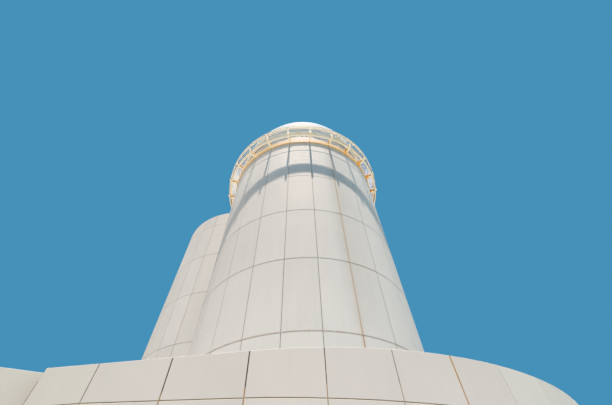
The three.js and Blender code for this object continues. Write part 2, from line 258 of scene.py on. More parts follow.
def panel_paint(name, colour, rust=None, streaks=1.0, dirt=None):
    """Satin paint on sheet panels: a tone for each panel, faint clouds, rain streaks and a soft waviness."""
    g = Graph(name, specular=0.04)
    x, z, angle = g.x, g.z, g.angle
    cloud = g.noise(0.55, 3, 0.5)
    streak = g.noise(1.0, 4, 0.6, (5.5, 5.5, 0.32))
    fine = g.noise(26.0, 3, 0.6)
    light = 1.0 + g.tone() * 0.035 + (cloud - 0.5) * 0.10 + (streak - 0.5) * (0.09 * streaks) + (fine - 0.5) * 0.03
    if rust == "tower":
        # Painted light: the panels are painted lighter high up under the gallery, and in the low rows, most on the
        # left half, standing in for light that the lamps give too little of there
        light = light + g.range(z, 15.6, 18.4, 0.0, 0.13)
        light = light + g.range(z, 5.5, 11.5, 0.11, 0.0) * g.range(x, 0.5, 4.5, 1.0, 0.3)
        # The panels on both sides of the rusty seam are greyer, most beside the seam
        end = RUST_SEAM + TOWER_PANEL
        beside = g.range(angle, RUST_SEAM - 7.5, RUST_SEAM) * g.fall(angle, end - 0.1, end + 0.1)
        beside = beside * g.range(angle, RUST_SEAM, end, 1.0, 0.35)
        light = light - beside * (g.range(z, 6.5, 7.4, 0.0, 0.085) + g.range(z, 9.0, 11.0, 0.0, 0.04))
    if dirt:
        light = light - joint_dirt(g, *dirt) * g.range(streak, 0.3, 0.7, 0.02, 0.07)
    paint = g.mix(g.range(streak, 0.58, 0.8, 0.0, 0.22 * streaks), g.lit(colour, light), (0.44, 0.40, 0.33))
    if rust == "podium":
        # Painted light: the left gets a yellow cast and the right a green one, standing in for warmer light on the
        # left and cooler light on the right
        paint = g.mix(g.fall(x, -5.0, -2.5), paint, (0.98, 0.99, 0.95), "MULTIPLY")
        paint = g.mix(g.range(x, 3.2, 4.6), paint, (0.975, 1.005, 0.99), "MULTIPLY")
        paint = g.mix(podium_rust(g, 0.035) * 0.6, paint, (0.56, 0.33, 0.08))
    if rust == "tower":
        share = tower_rust(g, 0.045) * g.range(z, *PALE_FROM, 0.65, 0.45)
        paint = g.mix(share, paint, g.mix(g.range(z, *PALE_FROM), RUST, RUST_PALE))
        near = g.range(abs(angle - RUST_SEAM), 0.0, 1.9, 0.34, 0.0)
        paint = g.mix(near * streak, paint, (0.50, 0.36, 0.20))
        # Painted reflected light: the wall just under the gallery is tinted ochre, as if lit by light off the cream
        # ring above
        paint = g.mix(g.range(z, 19.75, 20.15, 0.0, 0.45), paint, (0.66, 0.54, 0.38))
    wave = g.noise(1.0, 2, 0.4, (1.1, 1.1, 0.7))
    return g.done(paint, g.range(cloud, 0.3, 0.7, 0.62, 0.76), g.bump(wave, 0.012, 0.5, g.bump(fine, 0.0008, 0.35)))


def joint_backing(name, rust=None):
    """What shows in the joints: a dark brown gasket with dust in it, and rust where the joint has rusted."""
    g = Graph(name, roughness=0.85, specular=0.2)
    dust = g.noise(7.0, 4, 0.6)
    patch = g.range(g.noise(5.0, 3), 0.35, 0.65)
    colour = g.mix(g.range(dust, 0.3, 0.75), (0.060, 0.052, 0.045), (0.145, 0.125, 0.105))
    if rust == "tower":
        rusty = g.mix(g.range(g.z, *PALE_FROM), g.mix(patch, RUST_DARK, RUST), (0.84, 0.63, 0.40))
        colour = g.mix(tower_rust(g, 0.09), colour, rusty)
    elif rust == "podium":
        # The level joint under the upper panels holds brown dust
        level = g.range(g.z, 3.42, 3.49) * g.fall(g.z, 3.75, 3.82)
        colour = g.mix(level * 0.85, colour, (0.44, 0.31, 0.17))
        colour = g.mix(podium_rust(g, 0.06), colour, g.mix(patch, RUST, (0.50, 0.28, 0.07)))
    return g.done(colour, None, g.bump(dust, 0.003, 0.6))


def gallery_paint():
    """Cream paint with orange stain, strongest where the joists meet the inner ring on the right side."""
    g = Graph("gallery_cream_paint", specular=0.3)
    radius = g.math("SQRT", g.x * g.x + g.y * g.y)
    off = g.off_seam(g.angle - TOWER_SEAM, TOWER_PANEL) * TOWER_PANEL
    patch = g.noise(2.2, 5, 0.65)
    fleck = g.noise(16.0, 5, 0.7)
    at_joist = g.fall(off, 0.5, 2.6) * g.fall(radius, 5.14, 5.34)
    side = g.range(g.angle, 0.0, 45.0, 0.0, 1.0)
    stain = patch + at_joist * side * 0.34 + side * 0.07
    rusty = g.range(stain, 0.72, 0.90) * g.range(fleck, 0.30, 0.55, 0.4, 1.0)
    # The inner ring's lower part and underside are painted darker brown: partly stain, partly painted shade
    edge = g.fall(g.z, 20.27, 20.43) * g.fall(radius, 5.086, 5.092)
    colour = g.mix(g.range(fleck, 0.3, 0.7), (0.91, 0.80, 0.62), (0.95, 0.87, 0.72))
    colour = g.mix(g.range(stain, 0.45, 0.85) * 0.75, colour, (0.90, 0.62, 0.27))
    colour = g.mix(edge * g.range(patch, 0.3, 0.6, 0.65, 0.92), colour, (0.64, 0.47, 0.23))
    orange = g.mix(g.range(patch, 0.4, 0.7), (0.95, 0.52, 0.11), (0.74, 0.34, 0.07))
    return g.done(g.mix(rusty * 0.85, colour, orange), 0.48 + rusty * 0.35, g.bump(fleck + rusty, 0.0015, 0.5))


def galvanised():
    """Galvanised grating bars, dull with faint warm dust, with painted shade that darkens them towards the right end.
    """
    g = Graph("grating_zinc", metallic=0.35)
    cloud = g.noise(3.0, 4, 0.6)
    tint = g.mix(g.range(cloud, 0.35, 0.7), (0.59, 0.52, 0.41), (0.66, 0.59, 0.47))
    colour = g.mix(0.10, tint, g.cells(40.0, "Color"), "MULTIPLY")
    # Painted shade: the bars darken from 48 degrees on to the right, standing in for the shade seen through the bays
    # there
    colour = g.mix(g.range(g.angle, 48.0, 60.0, 0.0, 0.85), colour, (0.36, 0.34, 0.36))
    return g.done(colour, g.range(cloud, 0.3, 0.7, 0.42, 0.62), g.bump(g.noise(60.0, 3), 0.0006, 0.4))


def white_shell(name, colour):
    """Satin white paint on a shell, with thin dirt along the ribs and light rain streaks."""
    g = Graph(name, specular=0.2)
    streak = g.noise(1.0, 4, 0.6, (4.0, 4.0, 0.5))
    cloud = g.noise(0.8, 3, 0.5)
    fine = g.noise(30.0, 3, 0.6)
    light = 1.0 + g.tone() * 0.03 + (cloud - 0.5) * 0.07 + (fine - 0.5) * 0.02
    off = g.off_seam(g.angle, SHEET_TURN) * SHEET_TURN
    grime = g.range(off, 0.0, 1.6, 0.35, 0.0) * g.range(streak, 0.35, 0.7)
    dirt = g.math("MAXIMUM", grime, g.range(streak, 0.6, 0.8, 0.0, 0.2))
    colour = g.mix(dirt, g.lit(colour, light), (0.42, 0.40, 0.36))
    return g.done(colour, g.range(cloud, 0.3, 0.7, 0.46, 0.60), g.bump(cloud, 0.01, 0.35, g.bump(fine, 0.0006, 0.3)))


def concrete():
    g = Graph("trowelled_concrete", specular=0.3)
    cloud = g.noise(0.9, 4, 0.6)
    grit = g.noise(60.0, 4, 0.7)
    colour = g.mix(g.range(cloud, 0.3, 0.7), (0.33, 0.315, 0.29), (0.45, 0.43, 0.395))
    colour = g.mix(g.range(grit, 0.55, 0.75, 0.0, 0.4), colour, (0.24, 0.23, 0.21))
    colour = g.mix(g.range(g.cells(24.0, "Distance"), 0.0, 0.09, 0.5, 0.0), colour, (0.15, 0.14, 0.13))
    return g.done(colour, g.range(cloud, 0.3, 0.7, 0.8, 0.95), g.bump(grit, 0.002, 0.6))


def door_paint():
    g = Graph("door_grey_blue", coat=0.1)
    cloud = g.noise(2.5, 4, 0.6)
    colour = g.mix(g.range(cloud, 0.3, 0.7), (0.25, 0.30, 0.33), (0.30, 0.35, 0.38))
    colour = g.mix(g.range(g.z, 0.15, 0.6, 0.4, 0.0) * cloud, colour, (0.33, 0.29, 0.23))
    return g.done(colour, g.range(cloud, 0.3, 0.7, 0.34, 0.5), g.bump(g.noise(240.0, 2, 0.5), 0.0004, 0.4))


def mottled(name, noises, tints, overlays, rough, bump, **shader):
    """A material from numbered noises alone: two tints mixed by the first, overlays, a roughness and a bump."""
    g = Graph(name, **shader)
    noises = [g.noise(*noise) for noise in noises]
    low, high, first, second = tints
    colour = g.mix(g.range(noises[0], low, high), first, second)
    for k, *limits, tint in overlays:
        colour = g.mix(g.range(noises[k], *limits), colour, tint)
    return g.done(colour, g.range(noises[rough[0]], *rough[1:]), g.bump(noises[bump[0]], *bump[1:]))


PANEL = (0.604, 0.594, 0.568)
SHEET_TURN = 15.0
M = {
    "tower": panel_paint("tower_panel_paint", PANEL, "tower", dirt=(TOWER_R, (0, 0), TOWER_SEAM, TOWER_PANEL)),
    "side": panel_paint("side_tower_panel_paint", PANEL, dirt=(SIDE_R, SIDE_CENTRE, SIDE_SEAM, SIDE_PANEL)),
    "podium": panel_paint("podium_panel_paint", (0.612, 0.593, 0.563), "podium", streaks=0.6),
    "tower_joint": joint_backing("tower_joint_backing", "tower"),
    "podium_joint": joint_backing("podium_joint_backing", "podium"),
    "joint": joint_backing("plain_joint_backing"),
    "gallery": gallery_paint(),
    # Pale cream paint on the handrail, with rust specks at the joints
    "rail": mottled(
        "rail_pale_paint", [(22.0, 4, 0.7), (3.5, 5, 0.65)], (0.3, 0.7, (0.74, 0.71, 0.63), (0.79, 0.765, 0.69)),
        [(1, 0.52, 0.75, 0.0, 0.45, (0.80, 0.55, 0.28))], (1, 0.4, 0.7, 0.4, 0.65), (0, 0.001, 0.5), specular=0.45),
    "grating": galvanised(),
    "dome": white_shell("dome_satin_white", (0.82, 0.79, 0.74)),
    "drum": white_shell("drum_white", (0.70, 0.70, 0.68)),
    # Worn, oily steel
    "steel": mottled(
        "dark_machine_steel", [(9.0, 5, 0.65), (1.7, 3, 0.5)],
        (0.45, 0.75, (0.085, 0.088, 0.092), (0.23, 0.22, 0.205)),
        [(1, 0.6, 0.8, 0.0, 0.6, (0.13, 0.07, 0.035))], (1, 0.3, 0.7, 0.34, 0.6), (0, 0.001, 0.5), metallic=0.75),
    "concrete": concrete(),
    # Grey mineral roofing felt: puddle marks, patches of dust and fine grit
    "roof": mottled(
        "roofing_felt", [(0.7, 5, 0.6), (0.33, 2, 0.4), (110.0, 3, 0.7)],
        (0.3, 0.7, (0.30, 0.30, 0.29), (0.37, 0.365, 0.35)),
        [(1, 0.52, 0.60, 0.0, 0.35, (0.44, 0.42, 0.38)), (2, 0.5, 0.75, 0.0, 0.5, (0.46, 0.455, 0.44))],
        (1, 0.4, 0.6, 0.95, 0.78), (2, 0.0015, 0.7), specular=0.25),
    "door": door_paint(),
    "fitting": mottled(
        "brushed_fittings", [(1.0, 3, 0.6, (400, 400, 30))], (0.3, 0.7, (0.52, 0.51, 0.49), (0.66, 0.65, 0.63)),
        [], (0, 0.3, 0.7, 0.26, 0.42), (0, 0.0003, 0.4), metallic=0.9),
    "rubber": mottled(
        "black_rubber", [(12.0, 4, 0.6)], (0.4, 0.75, (0.022, 0.022, 0.023), (0.075, 0.072, 0.068)),
        [], (0, 0.3, 0.7, 0.6, 0.85), (0, 0.001, 0.4), specular=0.35),
}


# Mesh building

def polar(radius, turn, z=0.0, centre=(0, 0)):
    a = radians(turn)
    return Vector((centre[0] + radius * sin(a), centre[1] - radius * cos(a), z))


def circle(radius, sides):
    turns = [2 * pi * k / sides for k in range(sides)]
    return [(radius * cos(a), radius * sin(a)) for a in turns]


def box(left, right, low, high):
    return [(left, low), (right, low), (right, high), (left, high)]


def axes(along):
    """Side and rise of something that runs along a direction."""
    side = along.cross(UP if abs(along.z) < 0.9 else Vector((1, 0, 0))).normalized()
    return side, side.cross(along)


class Build:
    """Collects the faces of one mesh, with a tone for each."""

    def __init__(self):
        self.points, self.faces, self.tones = [], [], []

    def add(self, points, faces, tone):
        first = len(self.points)
        self.points += [tuple(p) for p in points]
        self.faces += [[first + i for i in face] for face in faces]
        self.tones += [tone] * len(faces)

    def loft(self, rings, closed=False, tone=0.0):
        """Skin over rings of points. An open run gets a cap at each end."""
        count, size = len(rings), len(rings[0])
        faces = []
        for i in range(count if closed else count - 1):
            a, b = i * size, ((i + 1) % count) * size
            faces += [[a + j, a + (j + 1) % size, b + (j + 1) % size, b + j] for j in range(size)]
        if not closed:
            faces += [list(range(size))[::-1], list(range((count - 1) * size, count * size))]
        self.add([p for ring in rings for p in ring], faces, tone)

    def sweep(self, wall, u0, u1, section, steps=None, tone=0.0):
        """A section of distances off a wall and heights, carried along the wall."""
        steps = steps or wall.steps(u0, u1)
        places = [u0 + (u1 - u0) * i / steps for i in range(steps + 1)]
        self.loft([[wall.at(u, z, d) for d, z in section] for u in places], tone=tone)

    def bar(self, start, end, section):
        side, rise = axes((end - start).normalized())
        self.loft([[p + side * s + rise * h for s, h in section] for p in (start, end)])

    def block(self, centre, along, across, up, size, bevel=0.0):
        """A box on three axes with chamfered long edges."""
        x, y, z = Vector(size) / 2
        section, ends = box(-y, y, -z, z), [(-x, 1.0), (x, 1.0)]
        if bevel:
            inner = 1 - bevel / min(y, z)
            ends = [(-x, inner), (bevel - x, 1.0), (x - bevel, 1.0), (x, inner)]
            section = [(bevel - y, -z), (y - bevel, -z), (y, bevel - z), (y, z - bevel),
                       (y - bevel, z), (bevel - y, z), (-y, z - bevel), (-y, bevel - z)]
        self.loft([[centre + along * at + across * (s * share) + up * (h * share) for s, h in section]
                   for at, share in ends])

    def tube(self, path, radius, sides=10, closed=False):
        count = len(path)
        rings = []
        for i, point in enumerate(path):
            before = path[(i - 1) % count] if closed or i else point
            after = path[(i + 1) % count] if closed or i < count - 1 else point
            side, rise = axes((after - before).normalized())
            grow = 1.0
            if before != point and after != point:
                grow = 1 / cos((point - before).angle(after - point) / 2)
            rings.append([point + side * (grow * s) + rise * h for s, h in circle(radius, sides)])
        self.loft(rings, closed=closed)

    def bolt(self, at, axis, radius, height):
        self.bar(at, at + axis * height, circle(radius, 6))

    def make(self, name, material, slot, *replaces, body="building"):
        mesh = bpy.data.meshes.new(name)
        mesh.from_pydata(self.points, [], self.faces)
        mesh.materials.append(M[material])
        tone = mesh.attributes.new("tone", "FLOAT", "FACE")
        tone.data.foreach_set("value", self.tones)
        shape = bmesh.new()
        shape.from_mesh(mesh)
        bmesh.ops.recalc_face_normals(shape, faces=shape.faces)
        shape.to_mesh(mesh)
        shape.free()
        mesh.shade_smooth()
        mesh.set_sharp_from_angle(angle=SHARP)
        piece = bpy.data.objects.new(name, mesh)
        bpy.context.scene.collection.objects.link(piece)
        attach(piece, body)
        if replaces:
            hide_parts(*replaces)
        return piece


def dress(material, *names):
    """Gives a material to solids that still show."""
    for name in names:
        mesh = nodes[name].data
        mesh.materials.clear()
        mesh.materials.append(M[material])


# Walls as surfaces: u runs to the right as seen from the lined side, d stands off the wall

class RoundWall:
    def __init__(self, radius, centre=(0, 0), inside=False):
        self.radius, self.centre, self.sign = radius, centre, -1 if inside else 1

    @property
    def per_metre(self):
        return degrees(1 / self.radius)

    def at(self, u, z, d):
        return polar(self.radius + self.sign * d, self.sign * u, z, self.centre)

    def steps(self, u0, u1):
        return max(1, round(abs(u1 - u0) / 2.5))


class FlatWall:
    per_metre = 1.0

    def __init__(self, origin, right):
        self.origin, self.right = origin, right.normalized()
        self.out = self.right.cross(UP)

    def at(self, u, z, d):
        return self.origin + self.right * u + self.out * d + UP * z

    def steps(self, u0, u1):
        return 1


# For sections that are given as radii and heights
AXIS = RoundWall(0)


def panel(build, wall, u0, u1, low, high, tone=None, joint=JOINT, ends=None):
    """One cladding panel with eased edges. low and high are heights, or pairs where a level joint slopes.
    ends gives the half widths of the upright joints beside it, where they differ from the level ones."""
    ends = ends or (joint, joint)
    low, high = (z if isinstance(z, tuple) else (z, z) for z in (low, high))
    if tone is None:
        tone = rng.uniform(-1, 1)
    steps = wall.steps(u0, u1)

    def loop(inset, depth):
        a = u0 + (ends[0] + inset - joint) * wall.per_metre
        b = u1 - (ends[1] + inset - joint) * wall.per_metre
        rows = []
        for (z0, z1), lift in ((low, inset), (high, -inset)):
            shares = [i / steps for i in range(steps + 1)]
            rows.append([wall.at(a + (b - a) * s, z0 + (z1 - z0) * s + lift, depth) for s in shares])
        return rows[0] + rows[1][::-1]

    size = 2 * (steps + 1)
    rings = [loop(joint + EDGE, PROUD), loop(joint, PROUD - EDGE), loop(joint, BACK)]
    faces = []
    for a, b in ((0, size), (size, 2 * size)):
        faces += [[b + j, b + (j + 1) % size, a + (j + 1) % size, a + j] for j in range(size)]
    for i in range(steps):
        corners = [i, i + 1, size - 2 - i, size - 1 - i]
        faces += [corners, [2 * size + k for k in corners[::-1]]]
    build.add([p for ring in rings for p in ring], faces, tone)


def panels(build, wall, cuts, low, high, joint=JOINT):
    for u0, u1 in pairwise(cuts):
        panel(build, wall, u0, u1, low, high, joint=joint)


def cap_round(build, wall, seams, top):
    """Folded caps on a wall's top, jointed where the panels are. The panels rise in front of their edge."""
    back, fold = -WALL - 0.010, top - 0.045
    section = [(0.0, top + 0.001), (0.0, top + CAP - 0.001), (-0.001, top + CAP), (back + 0.002, top + CAP),
               (back, top + CAP - 0.002), (back, fold), (back + 0.008, fold), (back + 0.008, top + 0.001)]
    half = JOINT * wall.per_metre
    for u0, u1 in pairwise(seams):
        build.sweep(wall, u0 + half, u1 - half, section, wall.steps(u0, u1), rng.uniform(-1, 1))


# Where round walls meet. TO_SIDE and TO_MAIN are the directions from one tower's axis to the other's

APART = hypot(*SIDE_CENTRE)
TO_SIDE = degrees(atan2(SIDE_CENTRE[0], -SIDE_CENTRE[1])) + 360
TO_MAIN = degrees(atan2(-SIDE_CENTRE[0], SIDE_CENTRE[1]))


def meeting(radius, other):
    """Half the angle of a circle about one tower's axis that a circle about the other tower's axis hides."""
    return degrees(acos((APART ** 2 + radius ** 2 - other ** 2) / (2 * APART * radius)))


def span(towards, radius, other):
    """The ends of the arc that is left of such a circle. towards is the direction of the other tower."""
    half = meeting(radius, other)
    return towards + half, towards - half + 360


def seams_within(start, end, first, pitch):
    """start, every seam between, and end."""
    k = ceil((start - first) / pitch + 1e-6)
    found = [start]
    while first + pitch * k < end - 1e-6:
        found.append(first + pitch * k)
        k += 1
    return [*found, end]


# Towers: panels over the wall segments, which stay behind them as the joint

def clad_tower(build, wall, seams, foot, top):
    """Panels between the upright seams and the level joints. foot gives the foot of the panels between two seams."""
    for u0, u1 in pairwise(seams):
        shade = rng.uniform(-0.4, 0.4)
        low = foot(u0, u1)
        heights = [low, *[z for z in COURSES if low + 0.05 < z < top - 0.05], top]
        for z0, z1 in pairwise(heights):
            panel(build, wall, u0, u1, z0, z1, shade + rng.uniform(-0.9, 0.9))


def clad_main_tower():
    build = Build()
    wall = RoundWall(TOWER_R)
    seams = seams_within(*span(TO_SIDE, TOWER_R + PROUD, SIDE_R + CLEAR), TOWER_SEAM, TOWER_PANEL)
    clad_tower(build, wall, seams, lambda u0, u1: ROOF_TOP - FOOT, PANELS_TOP)
    # A folded drip over each level joint, deepest under the gallery
    for level in COURSES[2:]:
        lip = PROUD + (0.008 if level > 18 else 0.004 if level > 8 else 0.0025)
        section = [(0.002, level + 0.006), (0.002, level + 0.003), (lip - 0.003, level - 0.003),
                   (lip - 0.003, level - 0.012), (lip, level - 0.012), (lip, level - 0.001)]
        for u0, u1 in pairwise(seams):
            build.sweep(wall, u0, u1, section, tone=rng.uniform(-1, 1))
    build.make("tower_cladding_panels", "tower", "tower_cladding")
    dress("tower_joint", *[f"tower_wall_{k}" for k in range(1, 9)])


def clad_side_tower():
    build = Build()
    wall = RoundWall(SIDE_R, SIDE_CENTRE)
    seams = seams_within(*span(TO_MAIN, SIDE_R + PROUD, TOWER_R + CLEAR), SIDE_SEAM, SIDE_PANEL)
    start, end = span(TO_MAIN, SIDE_R + PROUD, PODIUM_R)
    clad_tower(build, wall, seams, lambda u0, u1: FOOT if u1 > start and u0 < end else ROOF_TOP - FOOT,
               SIDE_TOP + CAP + JOINT)
    build.make("side_tower_cladding_panels", "side", "side_tower_cladding")
    dress("joint", *[f"side_tower_wall_{k}" for k in range(1, 6)])
    coping = Build()
    cap_round(coping, wall, seams, SIDE_TOP)
    coping.make("side_tower_coping", "side", "side_tower_cladding")
    dress("roof", "side_tower_roof")
    dress("concrete", "side_tower_floor")


# Podium: a round wall, a straight stretch that leaves it as a tangent, and a wing

START_POINT = polar(PODIUM_R, PODIUM_START)
STRAIGHT_ALONG, STRAIGHT_INWARD = polar(1, PODIUM_START - 90), polar(-1, PODIUM_START)
STRAIGHT_LENGTH = STRAIGHT_SEAMS[-1]
WING_ALONG, WING_INWARD = polar(1, WING_TURN - 90), polar(-1, WING_TURN)


def on_straight(along, inward):
    return START_POINT + STRAIGHT_ALONG * along + STRAIGHT_INWARD * inward


WING_CORNER = on_straight(STRAIGHT_LENGTH, WALL + GAP)


def on_wing(along, inward):
    return WING_CORNER + WING_ALONG * along + WING_INWARD * inward


def wing_meets(radius, inward):
    """How far along the wing a line at this depth crosses a circle about the main tower's axis."""
    base = on_wing(0, inward)
    half = base.dot(WING_ALONG)
    return -half + sqrt(half * half - base.length_squared + radius * radius)


def plan_angle(point):
    return degrees(atan2(point.x, -point.y))


# The wing's front wall runs on past the corner as a stub. A lining across its end reaches the straight wall.
STUB = 0.3
STUB_REACH = STUB * tan(radians(WING_TURN - PODIUM_START))

# The parapet's roof side: its depth in the wing, where its back meets the round wall, and the round wall's ends
INNER = RoundWall(PODIUM_R - WALL, inside=True)
INNER_DEPTH = WING_DEPTH - WALL
INNER_FIRST = wing_meets(INNER.radius, INNER_DEPTH)
INNER_START = PODIUM_START + 0.2
INNER_END = TO_SIDE - meeting(INNER.radius, SIDE_R + LINING_CLEAR)
INNER_LEFT_START = TO_SIDE - 360 + meeting(INNER.radius, SIDE_R + LINING_CLEAR)
INNER_LEFT_END = plan_angle(on_wing(INNER_FIRST, INNER_DEPTH))
INNER_LENGTH = WING_LENGTH - WALL
INNER_STRAIGHT = FlatWall(on_straight(0.05, WALL), STRAIGHT_ALONG)
INNER_FRONT = FlatWall(on_wing(-STUB, WALL), WING_ALONG)
INNER_STUB = FlatWall(on_wing(-STUB, -STUB_REACH), WING_INWARD)
INNER_WING_END = FlatWall(on_wing(INNER_LENGTH, WALL), WING_INWARD)
INNER_BACK = FlatWall(on_wing(INNER_LENGTH, INNER_DEPTH), -WING_ALONG)

PODIUM_COURSES = (FOOT, 0.55, 2.065)
# The front's seams aren't quite even, and neither are their joints: angle and half width
PODIUM_FRONT = ((-6.8, 0.011), (2.16, 0.007), (10.43, 0.005), (PODIUM_RUST_SEAM, 0.007), (26.02, 0.0035),
                (33.8, 0.0025))
# The level joint of the front rises a little towards the left end: angle and height
FRONT_JOINT = ((-6.8, 3.62), (2.16, 3.563), (10.43, 3.53), (20, 3.52))
STRAIGHT_RISE, RISE_LENGTH = 0.11, 2.85
LEFT_JOINT, WING_JOINT, WING_BACK_JOINT = 3.69, 3.73, 3.71
WIDE_HALF = 0.011
DOOR_ANGLE = PODIUM_START + PODIUM_PANEL * 11.5
DOOR_HALF = 0.5
DOOR_HEAD = 2.26
# How far the first seam lies along the straight stretch
START_SHIFT = radians(PODIUM_START - PODIUM_FRONT[0][0]) * PODIUM_R


def front_joint(angle):
    for (a, low), (b, high) in pairwise(FRONT_JOINT):
        if angle < b:
            return low + (high - low) * max(0.0, (angle - a) / (b - a))
    return FRONT_JOINT[-1][1]


def straight_joint(along):
    return FRONT_JOINT[0][1] + STRAIGHT_RISE * min(1.0, along / RISE_LENGTH)


def podium_column(build, wall, u0, u1, joints, courses=PODIUM_COURSES, ends=None):
    """The podium's panels between two seams. joints are the heights of the level joint at both."""
    shade = rng.uniform(-0.4, 0.4)
    for z0, z1 in pairwise((*courses, joints, PODIUM_TOP + CAP + JOINT)):
        panel(build, wall, u0, u1, z0, z1, shade + rng.uniform(-0.8, 0.8), ends=ends)


def podium_run(build, wall, cuts, joint):
    for u0, u1 in pairwise(cuts):
        podium_column(build, wall, u0, u1, (joint, joint))


def corner_cap(build, points, folded):
    """A flat cap over a parapet's corner. The sides that start at the folded points have an edge turned down."""
    build.loft([[p + UP * z for p in points] for z in (PODIUM_TOP + 0.001, PODIUM_TOP + CAP)])
    middle = sum(points, Vector()) / len(points)
    for i in folded:
        a, b = points[i], points[(i + 1) % len(points)]
        across = (b - a).normalized().cross(UP)
        if across.dot(middle - a) < 0:
            across = -across
        section = box(0.0, 0.008, PODIUM_TOP - 0.045, PODIUM_TOP + 0.001)
        build.loft([[p + across * d + UP * z for d, z in section] for p in (a, b)])


def clad_podium():
    build = Build()
    clear = meeting(PODIUM_R + PROUD, SIDE_R + CLEAR)
    halves = dict(PODIUM_FRONT)
    seams = [*halves]
    seams += seams_within(PODIUM_START + 5 * PODIUM_PANEL, TO_SIDE - clear, PODIUM_START, PODIUM_PANEL)[1:]
    wall = RoundWall(PODIUM_R)
    half_door = (DOOR_HALF + 0.01) * wall.per_metre
    for u0, u1 in pairwise(seams):
        joints = front_joint(u0), front_joint(u1)
        if u0 < DOOR_ANGLE < u1:
            for a, b in ((u0, DOOR_ANGLE - half_door), (DOOR_ANGLE + half_door, u1)):
                for z0, z1 in pairwise((*PODIUM_COURSES, DOOR_HEAD)):
                    panel(build, wall, a, b, z0, z1, joint=THIN_JOINT if b - a < 2 else JOINT)
            podium_column(build, wall, u0, u1, joints, (DOOR_HEAD,))
        else:
            podium_column(build, wall, u0, u1, joints, ends=[halves.get(u, THIN_JOINT) for u in (u0, u1)])
    past = WING_DEPTH + CLEAR
    left_end = plan_angle(on_wing(wing_meets(PODIUM_R + PROUD, past), past))
    left_seams = seams_within(TO_SIDE - 360 + clear, left_end, PODIUM_START, PODIUM_PANEL)
    podium_run(build, wall, left_seams, LEFT_JOINT)
    straight = FlatWall(on_straight(STRAIGHT_LENGTH, 0), -STRAIGHT_ALONG)
    for near, far in pairwise(STRAIGHT_SEAMS):
        podium_column(build, straight, STRAIGHT_LENGTH - far, STRAIGHT_LENGTH - (near or START_SHIFT),
                      (straight_joint(far), straight_joint(near)),
                      ends=[WIDE_HALF if s <= STRAIGHT_SEAMS[1] else JOINT for s in (far, near)])
    podium_run(build, FlatWall(on_straight(STRAIGHT_LENGTH, WALL), -STRAIGHT_INWARD), (0.0, WALL + 0.004), WING_JOINT)
    build.make("podium_cladding_panels", "podium", "podium_cladding")

    seal = Build()
    middle = on_straight(STRAIGHT_LENGTH + 0.024, 0.030) + UP * 2.10
    seal.block(middle, STRAIGHT_ALONG, STRAIGHT_INWARD, UP, (0.028, 0.020, 4.14), 0.004)
    seal.make("wing_corner_seal", "rubber", "podium_cladding")

    first = wing_meets(PODIUM_R + CLEAR, WING_DEPTH)
    front = FlatWall(on_wing(WING_LENGTH, 0), -WING_ALONG)
    end = FlatWall(on_wing(WING_LENGTH, WING_DEPTH), -WING_INWARD)
    back = FlatWall(on_wing(first, WING_DEPTH), WING_ALONG)
    front_cuts = [WING_PANEL * k for k in range(4)]
    end_cuts = [WING_DEPTH / 4 * k for k in range(5)]
    run = WING_LENGTH - first
    wing = Build()
    podium_run(wing, front, [*front_cuts, WING_LENGTH - 0.012], WING_JOINT)
    podium_run(wing, end, end_cuts, WING_JOINT)
    podium_run(wing, back, seams_within(0.0, run, run % WING_PANEL - WING_PANEL, WING_PANEL), WING_BACK_JOINT)
    wing.make("wing_cladding_panels", "podium", "podium_cladding")
    build_linings()

    caps = Build()
    corner, lip, stub = WALL + 0.02, WALL + 0.010, STUB + 0.010
    for face, cuts in (
            (wall, seams), (wall, left_seams), (straight, [STRAIGHT_LENGTH - s for s in STRAIGHT_SEAMS[::-1]]),
            (front, [*front_cuts, WING_LENGTH]), (end, [corner, *end_cuts[1:-1], WING_DEPTH - corner]),
            (back, seams_within(corner, run, run % WING_PANEL - WING_PANEL, WING_PANEL))):
        cap_round(caps, face, cuts, PODIUM_TOP)
    near = 0.012 / cos(radians(WING_TURN - PODIUM_START))
    points = (0, near), (0, lip), (-stub, lip), (-stub, near - STUB_REACH)
    corner_cap(caps, [on_wing(*point) for point in points], (1, 2))
    inner = WING_DEPTH - lip
    corner_cap(caps, [polar(PODIUM_R - lip, left_end), polar(PODIUM_R, left_end), on_wing(first + corner, WING_DEPTH),
                      on_wing(first + corner, inner), on_wing(wing_meets(PODIUM_R - lip, inner), inner)], (3, 4))
    caps.make("parapet_caps", "podium", "podium_cladding")

    dress("podium_joint", *[f"podium_wall_{k}" for k in range(1, 7)], "podium_straight_wall")
    dress("joint", "podium_wall_left", "wing_front_wall", "wing_end_wall", "wing_back_wall")
    dress("roof", "podium_roof")
    dress("concrete", "podium_floor", "tower_ground_floor", "observing_floor")


def build_linings():
    """Linings of the parapet on the roof side."""
    build = Build()
    levels = ROOF_TOP + 0.10, PODIUM_TOP - 0.05
    for start, end in ((INNER_START, INNER_END), (INNER_LEFT_START, INNER_LEFT_END)):
        for u0, u1 in pairwise(seams_within(start, end, PODIUM_START, PODIUM_PANEL)):
            panel(build, INNER, -u1, -u0, *levels)
    panels(build, INNER_STRAIGHT, (0.0, 1.41, 2.80, 3.48), *levels)
    panels(build, INNER_FRONT, [WING_PANEL * k for k in range(5)], *levels)
    panel(build, INNER_STUB, 0.008, WALL + STUB_REACH + PROUD + JOINT, *levels, 0.3)
    gap = 0.012
    for wall, pitch, run in ((INNER_WING_END, 1.25, INNER_DEPTH - WALL),
                             (INNER_BACK, WING_PANEL, INNER_LENGTH - INNER_FIRST)):
        for k in range(ceil(run / pitch)):
            panel(build, wall, gap + pitch * k, min(pitch * (k + 1), run - gap), *levels)
    build.make("parapet_linings", "podium", "podium_cladding")


# Gallery: 24 bays between joists that stand on the main tower's seams

